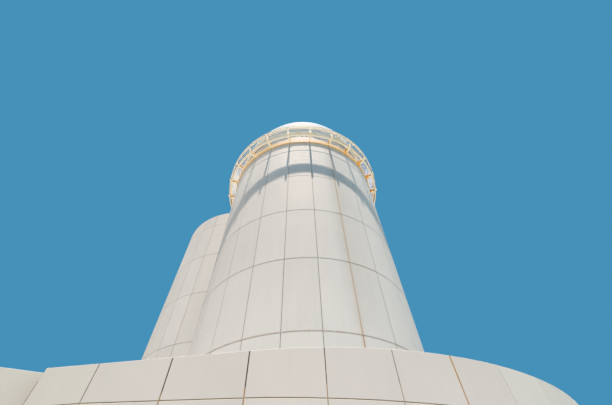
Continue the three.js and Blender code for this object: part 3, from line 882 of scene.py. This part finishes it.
SPOKES = [TOWER_SEAM + TOWER_PANEL * k for k in range(24)]
BEAM_LOW, BEAM_HIGH = 20.16, 20.48
BEAM_MID, BEAM_DEPTH = (BEAM_LOW + BEAM_HIGH) / 2, BEAM_HIGH - BEAM_LOW
DECK_TOP = 20.51
DECK_INNER, DECK_OUTER = 5.030, 5.584
DECK_CLEAR = 0.12
INNER_R, INNER_FACE = 5.049, 5.085
OUTER_R = 5.504
OUTER_WIDE = 0.075
OUTER_FACE = OUTER_R + OUTER_WIDE / 2
TIP_LOW, TIP_R = 20.385, 5.655
# A joist's cross sections: radius and underside
JOIST = ((5.087, BEAM_LOW), (5.530, BEAM_LOW), (5.575, TIP_LOW), (TIP_R, TIP_LOW))
RAIL_R = 5.628
RAIL_TOP, MIDDLE, KNEE = 21.47, 21.19, 20.94
RAIL_RADIUS, THIN_RADIUS = 0.040, 0.034


def channel(radius, width, web, flange):
    """Section of a channel about the beams' middle, with its web outwards."""
    left, right, low, high = radius - width / 2, radius + width / 2, BEAM_LOW, BEAM_HIGH
    return [(left, low), (right, low), (right, high), (left, high), (left, high - flange),
            (right - web, high - flange), (right - web, low + flange), (left, low + flange)]


def i_section(width, depth, web, flange):
    w, h, t = width / 2, depth / 2, web / 2
    return [(-w, -h), (w, -h), (w, flange - h), (t, flange - h), (t, h - flange), (w, h - flange), (w, h), (-w, h),
            (-w, h - flange), (-t, h - flange), (-t, flange - h), (-w, flange - h)]


def hoop(build, section, clear, steps=6, toned=False):
    """A ring bent from a section of radii and heights, in 24 lengths that stop clear degrees short of the seams."""
    for start in SPOKES:
        tone = rng.uniform(-1, 1) if toned else 0.0
        build.sweep(AXIS, start + clear, start + TOWER_PANEL - clear, section, steps, tone)


def build_beams():
    ring = Build()
    hoop(ring, channel(INNER_R, 0.072, 0.009, 0.014), 0.06)
    for start in SPOKES:
        for share in (0.12, 0.5, 0.88):
            angle = start + TOWER_PANEL * share
            for rise in (-0.09, 0.09):
                ring.bolt(polar(INNER_FACE, angle, BEAM_MID + rise), polar(1, angle), 0.013, 0.011)
    ring.make("gallery_inner_ring_channel", "gallery", "gallery_paint", "gallery_inner_ring")

    # Joists: I sections that taper beyond the outer ring, which runs between them on bolted cleats
    steel = Build()
    for angle in SPOKES:
        out = polar(1, angle)
        across = out.cross(UP)
        rings = []
        for radius, low in JOIST:
            section = i_section(0.11, BEAM_HIGH - low, 0.009, 0.012)
            rings.append([polar(radius, angle, (BEAM_HIGH + low) / 2 + z) + across * x for x, z in section])
        steel.loft(rings)
        steel.block(polar(5.093, angle, BEAM_MID), across, out, UP, (0.14, 0.012, BEAM_DEPTH - 0.004), 0.003)
        steel.block(polar(TIP_R + 0.004, angle, (BEAM_HIGH + TIP_LOW) / 2), across, out, UP,
                    (0.12, 0.008, BEAM_HIGH - TIP_LOW), 0.002)
        for side in (-1, 1):
            for rise in (-0.11, 0.0, 0.11):
                steel.bolt(polar(5.099, angle, BEAM_MID + rise) + across * (0.052 * side), out, 0.011, 0.009)
            steel.block(polar(OUTER_FACE - 0.015, angle, BEAM_MID) + across * (0.058 * side), across, out, UP,
                        (0.106, 0.010, BEAM_DEPTH - 0.06), 0.002)
            for rise in (-0.08, 0.08):
                steel.bolt(polar(OUTER_FACE, angle, BEAM_MID + rise) + across * (0.088 * side), out, 0.010, 0.009)
    hoop(steel, channel(OUTER_R, OUTER_WIDE, 0.009, 0.012), 0.64)
    # Kick plate along the edge of the deck
    hoop(steel, box(5.589, 5.595, DECK_TOP - 0.035, DECK_TOP + 0.085), 0.40)
    steel.make("gallery_joists_and_ring", "gallery", "gallery_paint", "gallery_joists")


def build_deck():
    """Open bar grating in 24 bays, in angle frames, and a plate over the top of the wall."""
    grate = Build()
    rods, bars = 9, 28
    for spoke in SPOKES:
        start, end = spoke + DECK_CLEAR, spoke + TOWER_PANEL - DECK_CLEAR
        # Rods and frame bars along the ring
        for i in range(rods + 1):
            radius = DECK_INNER + (DECK_OUTER - DECK_INNER) * i / rods
            half, low, high = (0.003, 0.0285, 0.0005) if i in (0, rods) else (0.0015, 0.00955, 0.00115)
            grate.sweep(AXIS, start, end, box(radius - half, radius + half, DECK_TOP - low, DECK_TOP - high), 3)
        # Bearing bars across the ring
        for i in range(bars + 1):
            angle = start + (end - start) * i / bars
            out = polar(1, angle)
            middle = polar((DECK_INNER + DECK_OUTER) / 2, angle, DECK_TOP - 0.0125)
            size = (DECK_OUTER - DECK_INNER, 0.005 if i in (0, bars) else 0.003, 0.024)
            grate.block(middle, out, out.cross(UP), UP, size)
    grate.make("gallery_grating", "grating", "deck_grating", "gallery_deck")

    plate = Build()
    section = [(4.814, 20.482), (5.022, 20.482), (5.022, 20.502), (4.820, 20.508), (4.820, 20.60), (4.814, 20.60)]
    hoop(plate, section, 0.05, 4, toned=True)
    plate.make("gallery_wall_plate", "drum", "drum_paint")


def build_railing():
    """Handrail, middle rail and knee rail: bent pipes with a small sleeve at each post. Posts on the joists' tips."""
    rail = Build()
    top = RAIL_TOP - RAIL_RADIUS
    posts = [polar(RAIL_R, angle) for angle in SPOKES]
    for height, radius in ((top, RAIL_RADIUS), (MIDDLE, THIN_RADIUS), (KNEE, THIN_RADIUS)):
        rail.tube([polar(RAIL_R, TOWER_SEAM + TOWER_PANEL * k / 6, height) for k in range(144)], radius, closed=True)
        for k, post in enumerate(posts):
            along = (posts[(k + 1) % 24] - posts[k - 1]).normalized() * 0.045
            rail.tube([post + UP * height - along, post + UP * height + along], radius + 0.004)
    for angle, post in zip(SPOKES, posts):
        out = polar(1, angle)
        across = out.cross(UP)
        foot = post + UP * (BEAM_HIGH + 0.010)
        rail.tube([foot, post + UP * (top - 0.012)], 0.021)
        rail.tube([foot, post + UP * (BEAM_HIGH + 0.045)], 0.027)
        rail.block(post + UP * (BEAM_HIGH + 0.006), out, across, UP, (0.058, 0.078, 0.010), 0.002)
        for b in (-0.031, 0.031):
            rail.bolt(post + UP * (BEAM_HIGH + 0.011) + across * b, UP, 0.006, 0.007)
    rail.make("gallery_railing_pipes", "rail", "gallery_paint", "gallery_railing")


# Dome: fixed drum and rail, and the turning ring, girders, shell and shutter

DOME_R = 4.9
DRUM_R = 4.790
DRUM_LOW, DRUM_HIGH = 20.53, 22.115
DOME_CENTRE = 23.0
SKIRT = 22.05
SLIT = 0.9
SLIT_SHEET = SLIT - 0.004
SHUTTER_HALF = 1.02
SHUTTER_FOOT = 22.3
SHUTTER_JOINTS = (92, 110, 128, 146, 164, 180)
# Sheets of the shutter: half width, inner and outer radius
SHUTTER_BASE = (SHUTTER_HALF - 0.012, 4.902, 4.936)
SHUTTER_SKIN = (0.955, 4.930, 4.950)
SHUTTER_STRIP = (0.93, 4.946, 4.958)
# How far in front of the axis the front's fixed sheets end and the shutter begins
FRONT_END, SHUTTER_END = 1.27, 1.4
SHELL_INNER, SHELL_OUTER = 4.842, 4.896
SHEET_EASE = 0.004
DRIP = 22.80
LEDGE = ((4.890, DRIP - 0.010), (4.985, DRIP - 0.030), (4.985, DRIP - 0.004), (4.981, DRIP), (4.890, DRIP + 0.022))
LEDGE_END = 167.2
ROLLED_FOOT = ((4.838, SKIRT), (4.906, SKIRT), (4.912, SKIRT + 0.006), (4.912, SKIRT + 0.05),
               (4.897, SKIRT + 0.055), (4.897, SKIRT + 0.012), (4.838, SKIRT + 0.012))
SHEET_FOOT = SKIRT - DOME_CENTRE + 0.004
SHELL_LEVELS = (0.0, 19.0, 37.5, 55.5, 73.0, 89.6)
UPRIGHT_BATTEN = ((-0.030, 0.0), (-0.024, 0.009), (-0.010, 0.014), (0.010, 0.014), (0.024, 0.009), (0.030, 0.0))
LEVEL_BATTEN = ((-0.022, 0.0), (-0.018, 0.007), (0.018, 0.007), (0.022, 0.0))
BATTEN_RISES = (-0.93, -0.465, *[3.5 * i for i in range(25)])
# Where the upright part at the back begins
BEHIND = 180.0001


def shell_point(radius, turn, rise):
    """A point of the shell by plan angle and degrees of elevation. A negative rise is metres below the springing."""
    if rise < 0:
        return polar(radius, turn, DOME_CENTRE + rise)
    a = radians(rise)
    return polar(radius * cos(a), turn, DOME_CENTRE + radius * sin(a))


def shell_sheet(build, turn0, turn1, rise0, rise1, tone):
    """One pressed sheet of the shell as a closed piece with eased outer edges."""
    across = max(2, round((turn1 - turn0) / 2.5))
    upward = max(2, round((rise1 - rise0) / 3.0)) if rise0 >= 0 else 2

    def layer(radius, inset):
        points = []
        for j in range(upward + 1):
            rise = rise0 + (rise1 - rise0) * j / upward
            level = inset if rise0 < 0 else degrees(inset / radius)
            rise += level if j == 0 else -level if j == upward else 0.0
            around = degrees(inset / (radius * max(0.06, cos(radians(max(rise, 0))))))
            around = min(around, (turn1 - turn0) / 3)
            for i in range(across + 1):
                turn = turn0 + (turn1 - turn0) * i / across
                turn += around if i == 0 else -around if i == across else 0.0
                points.append(shell_point(radius, turn, rise))
        return points

    points = layer(SHELL_INNER, 0.0) + layer(SHELL_OUTER - SHEET_EASE, 0.0) + layer(SHELL_OUTER, SHEET_EASE)
    wide, size = across + 1, (across + 1) * (upward + 1)
    faces = []
    for j in range(upward):
        for i in range(across):
            k = j * wide + i
            faces.append([k, k + wide, k + wide + 1, k + 1])
            faces.append([2 * size + k, 2 * size + k + 1, 2 * size + k + wide + 1, 2 * size + k + wide])
    rim = list(range(wide)) + [j * wide + across for j in range(1, upward + 1)]
    rim += [upward * wide + i for i in range(across - 1, -1, -1)] + [j * wide for j in range(upward - 1, 0, -1)]
    for low, high in ((0, size), (size, 2 * size)):
        faces += [[low + a, low + b, high + b, high + a] for a, b in pairwise(rim + rim[:1])]
    build.add(points, faces, tone)


def trim(piece, at, normal):
    """Cuts away what lies beyond a plane and closes the cuts."""
    shape = bmesh.new()
    shape.from_mesh(piece.data)
    everything = shape.verts[:] + shape.edges[:] + shape.faces[:]
    bmesh.ops.bisect_plane(shape, geom=everything, dist=1e-5, plane_co=at, plane_no=normal, clear_outer=True)
    bmesh.ops.holes_fill(shape, edges=[e for e in shape.edges if e.is_boundary], sides=0)
    bmesh.ops.recalc_face_normals(shape, faces=shape.faces)
    shape.to_mesh(piece.data)
    shape.free()
    piece.data.set_sharp_from_angle(angle=SHARP)


def strip(build, places, section, upright, tone=0.0):
    """A strip over a joint of the shell. places are plan angles and rises."""
    rings = []
    for turn, rise in places:
        a = radians(max(rise, 0.0))
        out, base = polar(1, turn), shell_point(SHELL_OUTER - 0.001, turn, rise)
        normal = out * cos(a) + UP * sin(a)
        side = polar(1, turn + 90) if upright else UP * cos(a) - out * sin(a)
        rings.append([base + side * x + normal * h for x, h in section])
    build.loft(rings, tone=tone)


def build_shell():
    """Two halves of pressed sheets with a batten over each upright joint, cut off along the slit."""
    for name, side in (("left", -1), ("right", 1)):
        build = Build()
        begin = 0.0 if side > 0 else -180.0
        for k in range(12):
            near, far = begin + SHEET_TURN * k + 0.04, begin + SHEET_TURN * k + 14.96
            shade = rng.uniform(-0.5, 0.5)
            shell_sheet(build, near, far, SHEET_FOOT, -0.006, shade)
            for low, high in pairwise(SHELL_LEVELS):
                shell_sheet(build, near, far, low + 0.05, high - 0.05, shade + rng.uniform(-0.5, 0.5))
        for k in range(13):
            places = [(begin + SHEET_TURN * k, rise) for rise in BATTEN_RISES]
            strip(build, places, UPRIGHT_BATTEN, True, rng.uniform(-1, 1))
        for level in SHELL_LEVELS[:-1]:
            strip(build, [(begin + 3.0 * i, level) for i in range(61)], LEVEL_BATTEN, False)
        # Drip ledge over the lower sheets as far as the shutter's rail, and the rolled edge along the foot
        first = 0.0 if side > 0 else -LEDGE_END
        build.sweep(AXIS, first, first + LEDGE_END, LEDGE, 68)
        build.sweep(AXIS, begin, begin + 180, ROLLED_FOOT, 72)
        piece = build.make(f"dome_shell_{name}_sheets", "dome", "dome_paint", f"dome_shell_{name}", body="dome")
        trim(piece, (side * (SLIT + 0.002), 0, 0), (-side, 0, 0))


class Slit:
    """The line along the slit. u up to 180 is degrees from the front foot over the top, beyond it metres down at the
    back, and below 0 metres down at the front. Sections are radii and distances across the slit."""

    def __init__(self, step, least):
        self.step, self.least = step, least

    def at(self, u, x, radius):
        reach = sqrt(radius * radius - x * x)
        if u > 180:
            return Vector((x, reach, DOME_CENTRE - (u - 180)))
        if u < 0:
            return Vector((x, -reach, DOME_CENTRE + u))
        a = radians(u)
        return Vector((x, -reach * cos(a), DOME_CENTRE + reach * sin(a)))

    def steps(self, u0, u1):
        return max(self.least, round((u1 - u0) / (self.step if 0 <= u0 and u1 <= 180 else 0.2)))


def slit_sheet(build, start, end, half, inner, outer, tone=0.0, step=3.0):
    """A sheet across the slit between two places along it."""
    eased = half - SHEET_EASE
    xs = [-eased] + [-half * 0.8 + half * 0.2 * i for i in range(9)] + [eased]
    section = [(outer - SHEET_EASE, -half), *[(outer, x) for x in xs], (outer - SHEET_EASE, half)]
    section += [(inner, x) for x in (half, 0.0, -half)]
    build.sweep(Slit(step, 1), start, end, section, tone=tone)


def edge_strip(build, side, x, start, end, inner, outer, width):
    """A strip along one side of the slit."""
    if start < 0 < end:
        edge_strip(build, side, x, start, 0.0, inner, outer, width)
        start = 0.0
    ease = 0.003
    a, b = side * (x - width / 2), side * (x + width / 2)
    section = [(inner, a), (outer - ease, a), (outer, a + ease * side), (outer, b - ease * side), (outer - ease, b),
               (inner, b)]
    build.sweep(Slit(2.5, 2), start, end, section)


def edge_across(build, profile, side):
    """Carries an edge of the shell across the slit, at the front (1) or at the back (-1)."""
    xs = [SLIT_SHEET * k / 8 for k in range(-8, 9)]
    build.loft([[Vector((side * x, -side * sqrt(r * r - x * x), z)) for r, z in profile] for x in xs])


def build_slit():
    """Fixed sheets at the front of the slit, and the closed shutter over the rest of it with its side rails."""
    shell = SHELL_INNER, SHELL_OUTER
    front = Build()
    edge = degrees(acos(FRONT_END / sqrt(DOME_R ** 2 - SLIT ** 2)))
    slit_sheet(front, SHEET_FOOT, -0.004, SLIT_SHEET, *shell, rng.uniform(-0.5, 0.5))
    levels = [*SHELL_LEVELS[:4], edge]
    for low, high in pairwise(levels):
        slit_sheet(front, low + 0.05, high - 0.05, SLIT_SHEET, *shell, rng.uniform(-0.7, 0.7))
    for level in levels[:-1]:
        slit_sheet(front, max(level - 0.24, 0.0), level + 0.24, SLIT - 0.02, 4.890, 4.903)
    for side in (-1, 1):
        edge_strip(front, side, SLIT, SHEET_FOOT, edge - 0.2, 4.894, 4.914, 0.045)
    edge_across(front, LEDGE, 1)
    front.make("dome_front_sheets", "dome", "dome_paint", "dome_shell_front", body="dome")

    shutter = Build()
    begin = degrees(acos(SHUTTER_END / sqrt(4.93 ** 2 - 0.5 ** 2)))
    foot = 180 + DOME_CENTRE - SHUTTER_FOOT
    slit_sheet(shutter, begin, 180, *SHUTTER_BASE, step=2.5)
    slit_sheet(shutter, BEHIND, foot, *SHUTTER_BASE)
    for low, high in pairwise((begin, *SHUTTER_JOINTS)):
        slit_sheet(shutter, low + 0.08, high - 0.08, *SHUTTER_SKIN, rng.uniform(-1, 1), step=2.5)
    slit_sheet(shutter, 180.012, foot - 0.012, *SHUTTER_SKIN, rng.uniform(-1, 1))
    for place in SHUTTER_JOINTS[:-1]:
        slit_sheet(shutter, place - 0.42, place + 0.42, *SHUTTER_STRIP)
    for side in (-1, 1):
        for start, end in ((begin, 180), (BEHIND, foot)):
            edge_strip(shutter, side, SHUTTER_HALF - 0.030, start, end, 4.915, 4.958, 0.028)
    slit_sheet(shutter, begin - 0.5, begin + 0.3, SHUTTER_HALF - 0.004, 4.898, 4.955, 0.3, step=0.4)
    shutter.make("dome_shutter_sheets", "dome", "dome_paint", "dome_shutter", body="dome")

    # Fixed sheet across the slit at the back, from the foot of the shell up behind the shutter's foot
    sill = Build()
    slit_sheet(sill, foot - 0.12, 180 - SHEET_FOOT, SLIT_SHEET, *shell)
    edge_across(sill, ROLLED_FOOT, -1)
    sill.make("dome_slit_sill", "dome", "dome_paint", body="dome")

    rails = Build()
    for side in (-1, 1):
        for start, end in ((begin - 40, 180), (BEHIND, 180.85)):
            edge_strip(rails, side, 1.075, start, end, 4.892, 4.925, 0.030)
    rails.make("dome_shutter_rails", "steel", "dome_paint", body="dome")


def build_drum():
    build = Build()
    panels(build, RoundWall(DRUM_R), [*SPOKES, TOWER_SEAM + 360], DRUM_LOW, DRUM_HIGH, THIN_JOINT)
    for angle in SPOKES:
        out = polar(1, angle)
        build.block(polar(DRUM_R + 0.0105, angle, 21.28), UP, out.cross(UP), out, (1.50, 0.045, 0.009), 0.002)
        for k in range(6):
            build.bolt(polar(DRUM_R + 0.015, angle, 20.60 + 0.27 * k), out, 0.006, 0.004)
    build.make("dome_drum_panels", "drum", "drum_paint")
    dress("drum", "dome_drum")
    dress("steel", "dome_track", "dome_base_ring", "dome_girder_left", "dome_girder_right")

    seal = Build()
    section = ((4.8255, SKIRT - 0.055), (4.8305, SKIRT - 0.055), (4.8400, SKIRT + 0.05), (4.8345, SKIRT + 0.05))
    seal.loft([[polar(r, 3.0 * i, z) for r, z in section] for i in range(120)], closed=True)
    seal.make("dome_rubber_seal", "rubber", "dome_paint", body="dome")


# Door, roofs and small fittings

def build_door():
    dress("door", "door_frame", "door_leaf")
    out, across = polar(1, DOOR_ANGLE), polar(1, DOOR_ANGLE + 90)
    handle, hinge, closer = -0.36, 0.432, 2.10

    def spot(x, z, d, face=-0.040):
        return polar(PODIUM_R + face, DOOR_ANGLE) + across * x + out * d + UP * z

    def plates(build, rows):
        for x, z, d, level, size, bevel in rows:
            build.block(spot(x, z, d), *((across, UP) if level else (UP, across)), out, size, bevel)

    # Lever handle with its plate and cylinder, hinges, kick plate and a closer
    steel = Build()
    plates(steel, [(handle, 1.18, 0.004, False, (0.24, 0.045, 0.008), 0.003)])
    lever = ((handle, 0.004), (handle, 0.055), (handle + 0.015, 0.066), (handle + 0.11, 0.066))
    steel.tube([spot(x, 1.22, d) for x, d in lever], 0.010, 12)
    steel.tube([spot(handle, 1.13, d) for d in (0.006, 0.016)], 0.012, 12)
    for z in (0.45, 1.22, 1.98):
        steel.tube([spot(hinge, z + h, 0.012) for h in (-0.055, 0.055)], 0.011, 12)
        steel.tube([spot(hinge, z + h, 0.012) for h in (0.055, 0.064)], 0.008, 12)
    plates(steel, [(0, 0.30, 0.002, True, (0.80, 0.20, 0.003), 0.001)])
    for x in (-0.37, 0.0, 0.37):
        for z in (0.22, 0.38):
            steel.bolt(spot(x, z, 0.003), out, 0.006, 0.003)
    plates(steel, [(0.22, closer, 0.026, True, (0.24, 0.055, 0.045), 0.006)])
    steel.tube([spot(0.14, closer, 0.055), spot(-0.08, closer, 0.070), spot(-0.02, closer + 0.075, 0.050)], 0.008, 8)
    steel.make("door_fittings", "fitting", "door_paint")

    vent = Build()
    plates(vent, [(x, 0.78, 0.005, False, (0.36, 0.022, 0.010), 0.002) for x in (-0.26, 0.26)])
    plates(vent, [(0, z, 0.005, True, (0.50, 0.022, 0.010), 0.002) for z in (0.60, 0.96)])
    tilt = (out * 0.75 - UP * 0.66).normalized()
    for k in range(9):
        vent.block(spot(0, 0.636 + 0.036 * k, 0.006), across, tilt, tilt.cross(across), (0.49, 0.020, 0.002))
    vent.make("door_louvre", "door", "door_paint")

    head = Build()
    head.block(polar(PODIUM_R + 0.012, DOOR_ANGLE, 2.262), across, out, UP, (1.12, 0.050, 0.008), 0.002)
    head.block(polar(PODIUM_R + 0.034, DOOR_ANGLE, 2.246), across, UP, out, (1.12, 0.032, 0.006), 0.002)
    head.make("door_head_flashing", "podium", "podium_cladding")
    sill = Build()
    sill.block(polar(PODIUM_R - 0.13, DOOR_ANGLE, 0.148), across, out, UP, (0.99, 0.36, 0.010), 0.003)
    sill.make("door_sill", "fitting", "door_paint")


def from_side_tower(p):
    return (p - Vector((*SIDE_CENTRE, 0))).length


def on_podium_roof(p):
    """Whether a point lies on the podium's roof, inside the parapets and outside the towers."""
    if p.length < TOWER_R + 0.12 or from_side_tower(p) < SIDE_R + 0.12:
        return False
    q, w = p - START_POINT, p - WING_CORNER
    along, inward = q.dot(STRAIGHT_ALONG), q.dot(STRAIGHT_INWARD)
    wing_along, wing_in = w.dot(WING_ALONG), w.dot(WING_INWARD)
    inner = WALL + 0.10
    if (0 < along and inward < inner) or (wing_along > -0.4 and wing_in < inner):
        return False
    if p.length < PODIUM_R - inner or (0 < along < STRAIGHT_LENGTH and inward > inner and wing_in < 4):
        return True
    return -2.5 < wing_along < WING_LENGTH - inner and inner < wing_in < WING_DEPTH - inner


def on_side_roof(p):
    return from_side_tower(p) < SIDE_R - WALL - 0.02 and p.length > TOWER_R + 0.12


def laps(build, inside, z, direction, reach):
    """Raised laps between the strips of roofing felt, one metre apart."""
    direction = Vector(direction).normalized()
    across = direction.cross(UP)
    step = 0.05
    count = int(2 * reach / step)
    for row in range(-reach, reach + 1):
        run = None
        for i in range(count + 1):
            p = across * (row + 0.35) + direction * (i * step - reach)
            here = i < count and inside(p)
            if here and run is None:
                run = p
            if not here and run is not None:
                end = p - direction * step
                size = ((end - run).length, 0.10, 0.005)
                if size[0] > 0.3:
                    build.block((run + end) / 2 + UP * (z + 0.0025), direction, across, UP, size, 0.0015)
                run = None


def upstand(build, wall, u0, u1, low=ROOF_TOP, high=ROOF_TOP + 0.10, mitres=(0, 0)):
    """Roofing felt turned up against a wall over a fillet. mitres are how much its ends grow as it stands off."""
    steps = 1 if isinstance(wall, FlatWall) else max(1, round(abs(u1 - u0) / 5))
    section = [(0.002, low - 0.02), (0.11, low - 0.02), (0.11, low + 0.004), (0.07, low + 0.010),
               (0.022, low + 0.075), (0.018, high - 0.004), (0.014, high), (0.002, high)]
    rings = []
    for i in range(steps + 1):
        share = i / steps
        grow = mitres[1] * share - mitres[0] * (1 - share)
        rings.append([wall.at(u0 + (u1 - u0) * share + grow * d, z, d) for d, z in section])
    build.loft(rings, tone=rng.uniform(-1, 1))


def build_roofs():
    felt = Build()
    laps(felt, on_podium_roof, ROOF_TOP, (0.94, 0.34, 0), 13)
    laps(felt, on_side_roof, SIDE_TOP, (0.64, -0.77, 0), 11)
    high = ROOF_TOP + 0.20
    tower_wall = RoundWall(TOWER_R + 0.011)
    side_wall = RoundWall(SIDE_R + 0.011, SIDE_CENTRE)
    start, end = span(TO_SIDE, TOWER_R + PROUD, SIDE_R + CLEAR)
    upstand(felt, tower_wall, start - 360, end - 360, high=high)
    near = span(TO_MAIN, SIDE_R + PROUD, TOWER_R + CLEAR)
    far = span(TO_MAIN, SIDE_R + PROUD, PODIUM_R - WALL)
    upstand(felt, side_wall, near[0], far[0], high=high)
    upstand(felt, side_wall, far[1], near[1], high=high)
    upstand(felt, INNER, -INNER_END, -INNER_START)
    upstand(felt, INNER, -INNER_LEFT_END, -INNER_LEFT_START)
    bend = 0.59
    upstand(felt, INNER_STRAIGHT, 0.0, 3.49, mitres=(0, -bend))
    upstand(felt, INNER_FRONT, 0.0, INNER_LENGTH + STUB, mitres=(1, 0))
    upstand(felt, INNER_STUB, 0.0, WALL + STUB_REACH, mitres=(-bend, 1))
    # The roof's slab has a gap beside the stub: filled, with a patch of felt over it
    fill = [(-0.301, 0.249), (-0.905, 0.249), (-1.037, 0.088), (-0.301, 0.027)]
    patch = [(-0.301, 0.31), (-0.96, 0.31), (-1.12, 0.09), (-1.08, 0.02), (-0.301, -0.04)]
    for outline, low, high in ((fill, -0.2, 0.0005), (patch, 0.0005, 0.004)):
        felt.loft([[on_wing(w, v) + UP * (ROOF_TOP + z) for w, v in outline] for z in (low, high)])
    upstand(felt, INNER_WING_END, 0.0, INNER_DEPTH - WALL)
    upstand(felt, INNER_BACK, 0.0, INNER_LENGTH - INNER_FIRST)
    start, end = span(TO_SIDE, TOWER_R + PROUD, SIDE_R - WALL)
    upstand(felt, tower_wall, end - 360, start, SIDE_TOP, SIDE_TOP + 0.08)
    felt.make("roof_felt_laps_and_upstands", "roof", "roof_membrane")

    drains = Build()
    for place in ((6.6, 2.2, ROOF_TOP), (3.4, -6.3, ROOF_TOP), (-8.6, -6.6, ROOF_TOP), (-7.0, 8.0, SIDE_TOP)):
        centre = Vector(place)
        for k in range(12):
            out = polar(1, 30 * k)
            bend = (0.11, 0.004), (0.085, 0.075), (0.025, 0.10)
            drains.tube([centre + out * d + UP * z for d, z in bend], 0.005, 6)
        drains.tube([centre + polar(0.125, 15 * i, 0.008) for i in range(24)], 0.012, 8, closed=True)
        drains.bar(centre + UP * 0.09, centre + UP * 0.108, circle(0.04, 12))
    drains.make("roof_drains", "steel", "roof_membrane")


# Stage, light and run

FLOOR_HALF = 150
FLOOR_DARK, FLOOR_LIGHT = (0.47, 0.425, 0.38), (0.51, 0.46, 0.41)
SKY = (0.10, 0.32, 0.52)
# The high sun is strong on upright faces, as in the photo, and its twin on the level ones is weaker, so that
# the dome, the roofs and the floor keep their shading. Two wide, weak lamps fill in the sides, and a third stands
# for the light that comes up to the gallery. Each: name, strength, colour, altitude, plan angle, size in degrees.
SUN = (82.13, 3.5, 0.53)
UPRIGHT_SUN = ("sun_on_upright", 14.8, (1.0, 0.82, 0.68), *SUN)
LEVEL_SUN = ("sun_on_level", 4.6, (1.0, 0.95, 0.90), *SUN)
WIDE = 60
FILL_LEFT = ("fill_left", 1.5, (1.0, 0.74, 0.52), 12, -95, WIDE)
FILL_RIGHT = ("fill_right", 0.72, (0.88, 0.93, 0.80), 12, 95, WIDE)
REFLECTOR = ("gallery_reflector", 1.15, (1.0, 0.88, 0.74), -50, 0, WIDE)
LEVEL_PIECES = ("floor", "roof_", "podium_roof", "side_tower_roof", "side_tower_coping", "parapet_caps",
                "dome_shell", "dome_front", "dome_shutter")


def lamp(name, strength, colour, altitude, turn, size, receivers=(), blockers=()):
    data = bpy.data.lights.new(name, "SUN")
    data.energy = strength
    data.color = colour
    data.angle = radians(size)
    thing = bpy.data.objects.new(name, data)
    towards = polar(cos(radians(altitude)), turn, sin(radians(altitude)))
    thing.rotation_euler = towards.to_track_quat("Z", "Y").to_euler()
    bpy.context.scene.collection.objects.link(thing)
    for role, pieces in (("receiver", receivers), ("blocker", blockers)):
        if pieces:
            group = bpy.data.collections.new(f"{name}_{role}s")
            for piece in pieces:
                group.objects.link(piece)
            setattr(thing.light_linking, role + "_collection", group)


def build_stage():
    mesh = bpy.data.meshes.new("floor")
    corners = box(-FLOOR_HALF, FLOOR_HALF, -FLOOR_HALF, FLOOR_HALF)
    mesh.from_pydata([(x, y, 0) for x, y in corners], [], [(0, 1, 2, 3)])
    g = Graph("pale_floor", roughness=0.95, specular=0.1)
    mesh.materials.append(g.done(g.mix(g.range(g.noise(0.35, 3, 0.5), 0.3, 0.7), FLOOR_DARK, FLOOR_LIGHT)))
    floor = bpy.data.objects.new("floor", mesh)
    floor.location = (0, 0, -0.002)
    bpy.context.scene.collection.objects.link(floor)

    world = bpy.data.worlds.new("studio")
    world.use_nodes = True
    world.node_tree.nodes["Background"].inputs[0].default_value = (*SKY, 1)
    bpy.context.scene.world = world

    shown = [piece for piece in bpy.context.scene.objects if piece.type == "MESH"]
    level = [piece for piece in shown if piece.name.startswith(LEVEL_PIECES)]
    lamp(*UPRIGHT_SUN, [piece for piece in shown if piece not in level])
    lamp(*LEVEL_SUN, level)
    lamp(*FILL_LEFT)
    lamp(*FILL_RIGHT)
    gallery = [piece for piece in shown if piece.name.startswith(("gallery_inner_ring_", "gallery_joists_"))]
    lamp(*REFLECTOR, gallery, [piece for piece in shown if piece != floor])
    bpy.context.scene.view_settings.view_transform = "Khronos PBR Neutral"


for build_part in (clad_main_tower, clad_side_tower, clad_podium, build_beams, build_deck, build_railing, build_drum,
                   build_shell, build_slit, build_door, build_roofs, build_stage):
    build_part()
